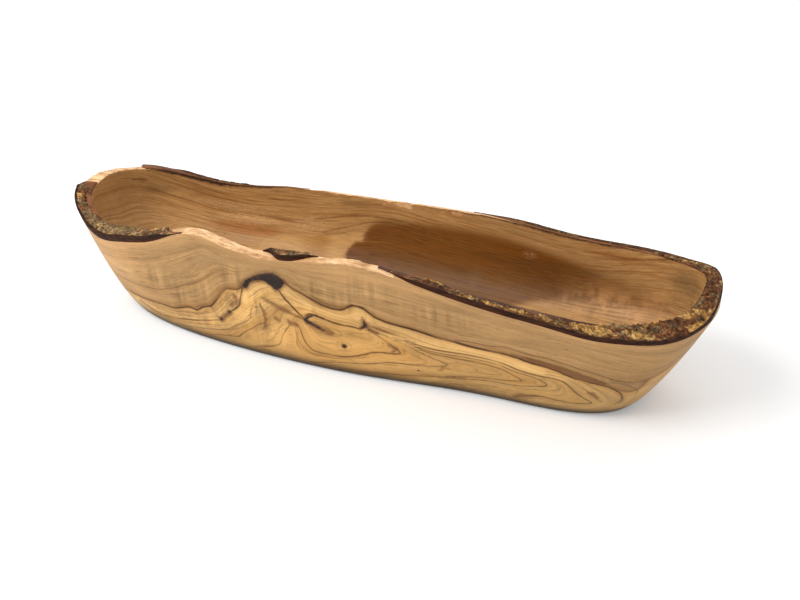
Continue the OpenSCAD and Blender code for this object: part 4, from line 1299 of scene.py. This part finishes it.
def build_floor():
    """A floor that looks white but throws back only as much light as a grey one."""
    h = FLOOR_SIZE / 2
    mesh = bpy.data.meshes.new("floor")
    mesh.from_pydata([(-h, -h, 0), (h, -h, 0), (h, h, 0), (-h, h, 0)], [], [(0, 1, 2, 3)])
    floor = bpy.data.objects.new("floor", mesh)
    floor.location.z = -FLOOR_LOW
    scene.collection.objects.link(floor)
    s = Shader(bpy.data.materials.new("paper"))
    rays = s.node("ShaderNodeLightPath").outputs
    mirrored = s.math("MAXIMUM", rays["Is Glossy Ray"], rays["Is Transmission Ray"])
    seen = s.math("MAXIMUM", rays["Is Camera Ray"], mirrored)
    paper = s.mix(seen, (FLOOR_GREY,) * 3 + (1,), (FLOOR_SEEN,) * 3 + (1,))
    matt = s.node("ShaderNodeBsdfDiffuse", {"Color": paper})
    glow = s.node("ShaderNodeEmission", {"Color": (1, 1, 1, 1), "Strength": s.times(seen, FLOOR_GLOW)})
    mesh.materials.append(s.send(s.node("ShaderNodeAddShader", {0: matt.outputs[0], 1: glow.outputs[0]})))
    return floor


def build_sky():
    """A world that looks white and lights the bowl less than it looks."""
    s = Shader(bpy.data.worlds.new("white"), "ShaderNodeOutputWorld")
    seen = s.node("ShaderNodeLightPath").outputs["Is Camera Ray"]
    level = s.node("ShaderNodeMapRange", {0: seen, 3: SKY_LIGHT, 4: 1.0}).outputs[0]
    return s.send(s.node("ShaderNodeBackground", {0: (1, 1, 1, 1), 1: level}))


def lamp(name, at, size, power, aim=(0, 0, 0.03)):
    data = bpy.data.lights.new(name, "AREA")
    data.shape = "RECTANGLE"
    data.size, data.size_y = size
    data.energy = power
    piece = bpy.data.objects.new(name, data)
    piece.location = at
    piece.rotation_euler = (Vector(aim) - Vector(at)).to_track_quat("-Z", "Y").to_euler()
    scene.collection.objects.link(piece)


build_floor()
scene.world = build_sky()
lamp("key", (-1.0, -0.9, 1.5), (1.3, 1.1), 25.0)
lamp("back", (-0.3, 1.4, 1.5), (1.6, 0.8), 8.0)

# Camera: direction and distance of the photo, fitted to the outline of the rim and base
AZIMUTH, ELEVATION, DISTANCE = 22.949, 30.51, 0.7237
FOCAL_PX, PHOTO_PX, SENSOR_MM = 1148.9, 800.0, 36.0
LOOK_HEIGHT, LOOK_RIGHT, LOOK_UP = 0.04, 0.01491, -0.01294
turn, tilt = math.radians(AZIMUTH), math.radians(ELEVATION)
back = Vector((math.sin(turn) * math.cos(tilt), -math.cos(turn) * math.cos(tilt), math.sin(tilt)))
right = Vector((math.cos(turn), math.sin(turn), 0))
up = back.cross(right)
target = Vector((0, 0, LOOK_HEIGHT)) - Vector(CENTRE * MM) + right * LOOK_RIGHT + up * LOOK_UP
camera = bpy.data.objects.new("camera", bpy.data.cameras.new("camera"))
camera.data.sensor_width = SENSOR_MM
camera.data.lens = FOCAL_PX * SENSOR_MM / PHOTO_PX
eye = [t + b * DISTANCE for t, b in zip(target, back)]
camera.matrix_world = Matrix([*zip(right, up, back, eye), (0, 0, 0, 1)])
scene.collection.objects.link(camera)
scene.camera = camera
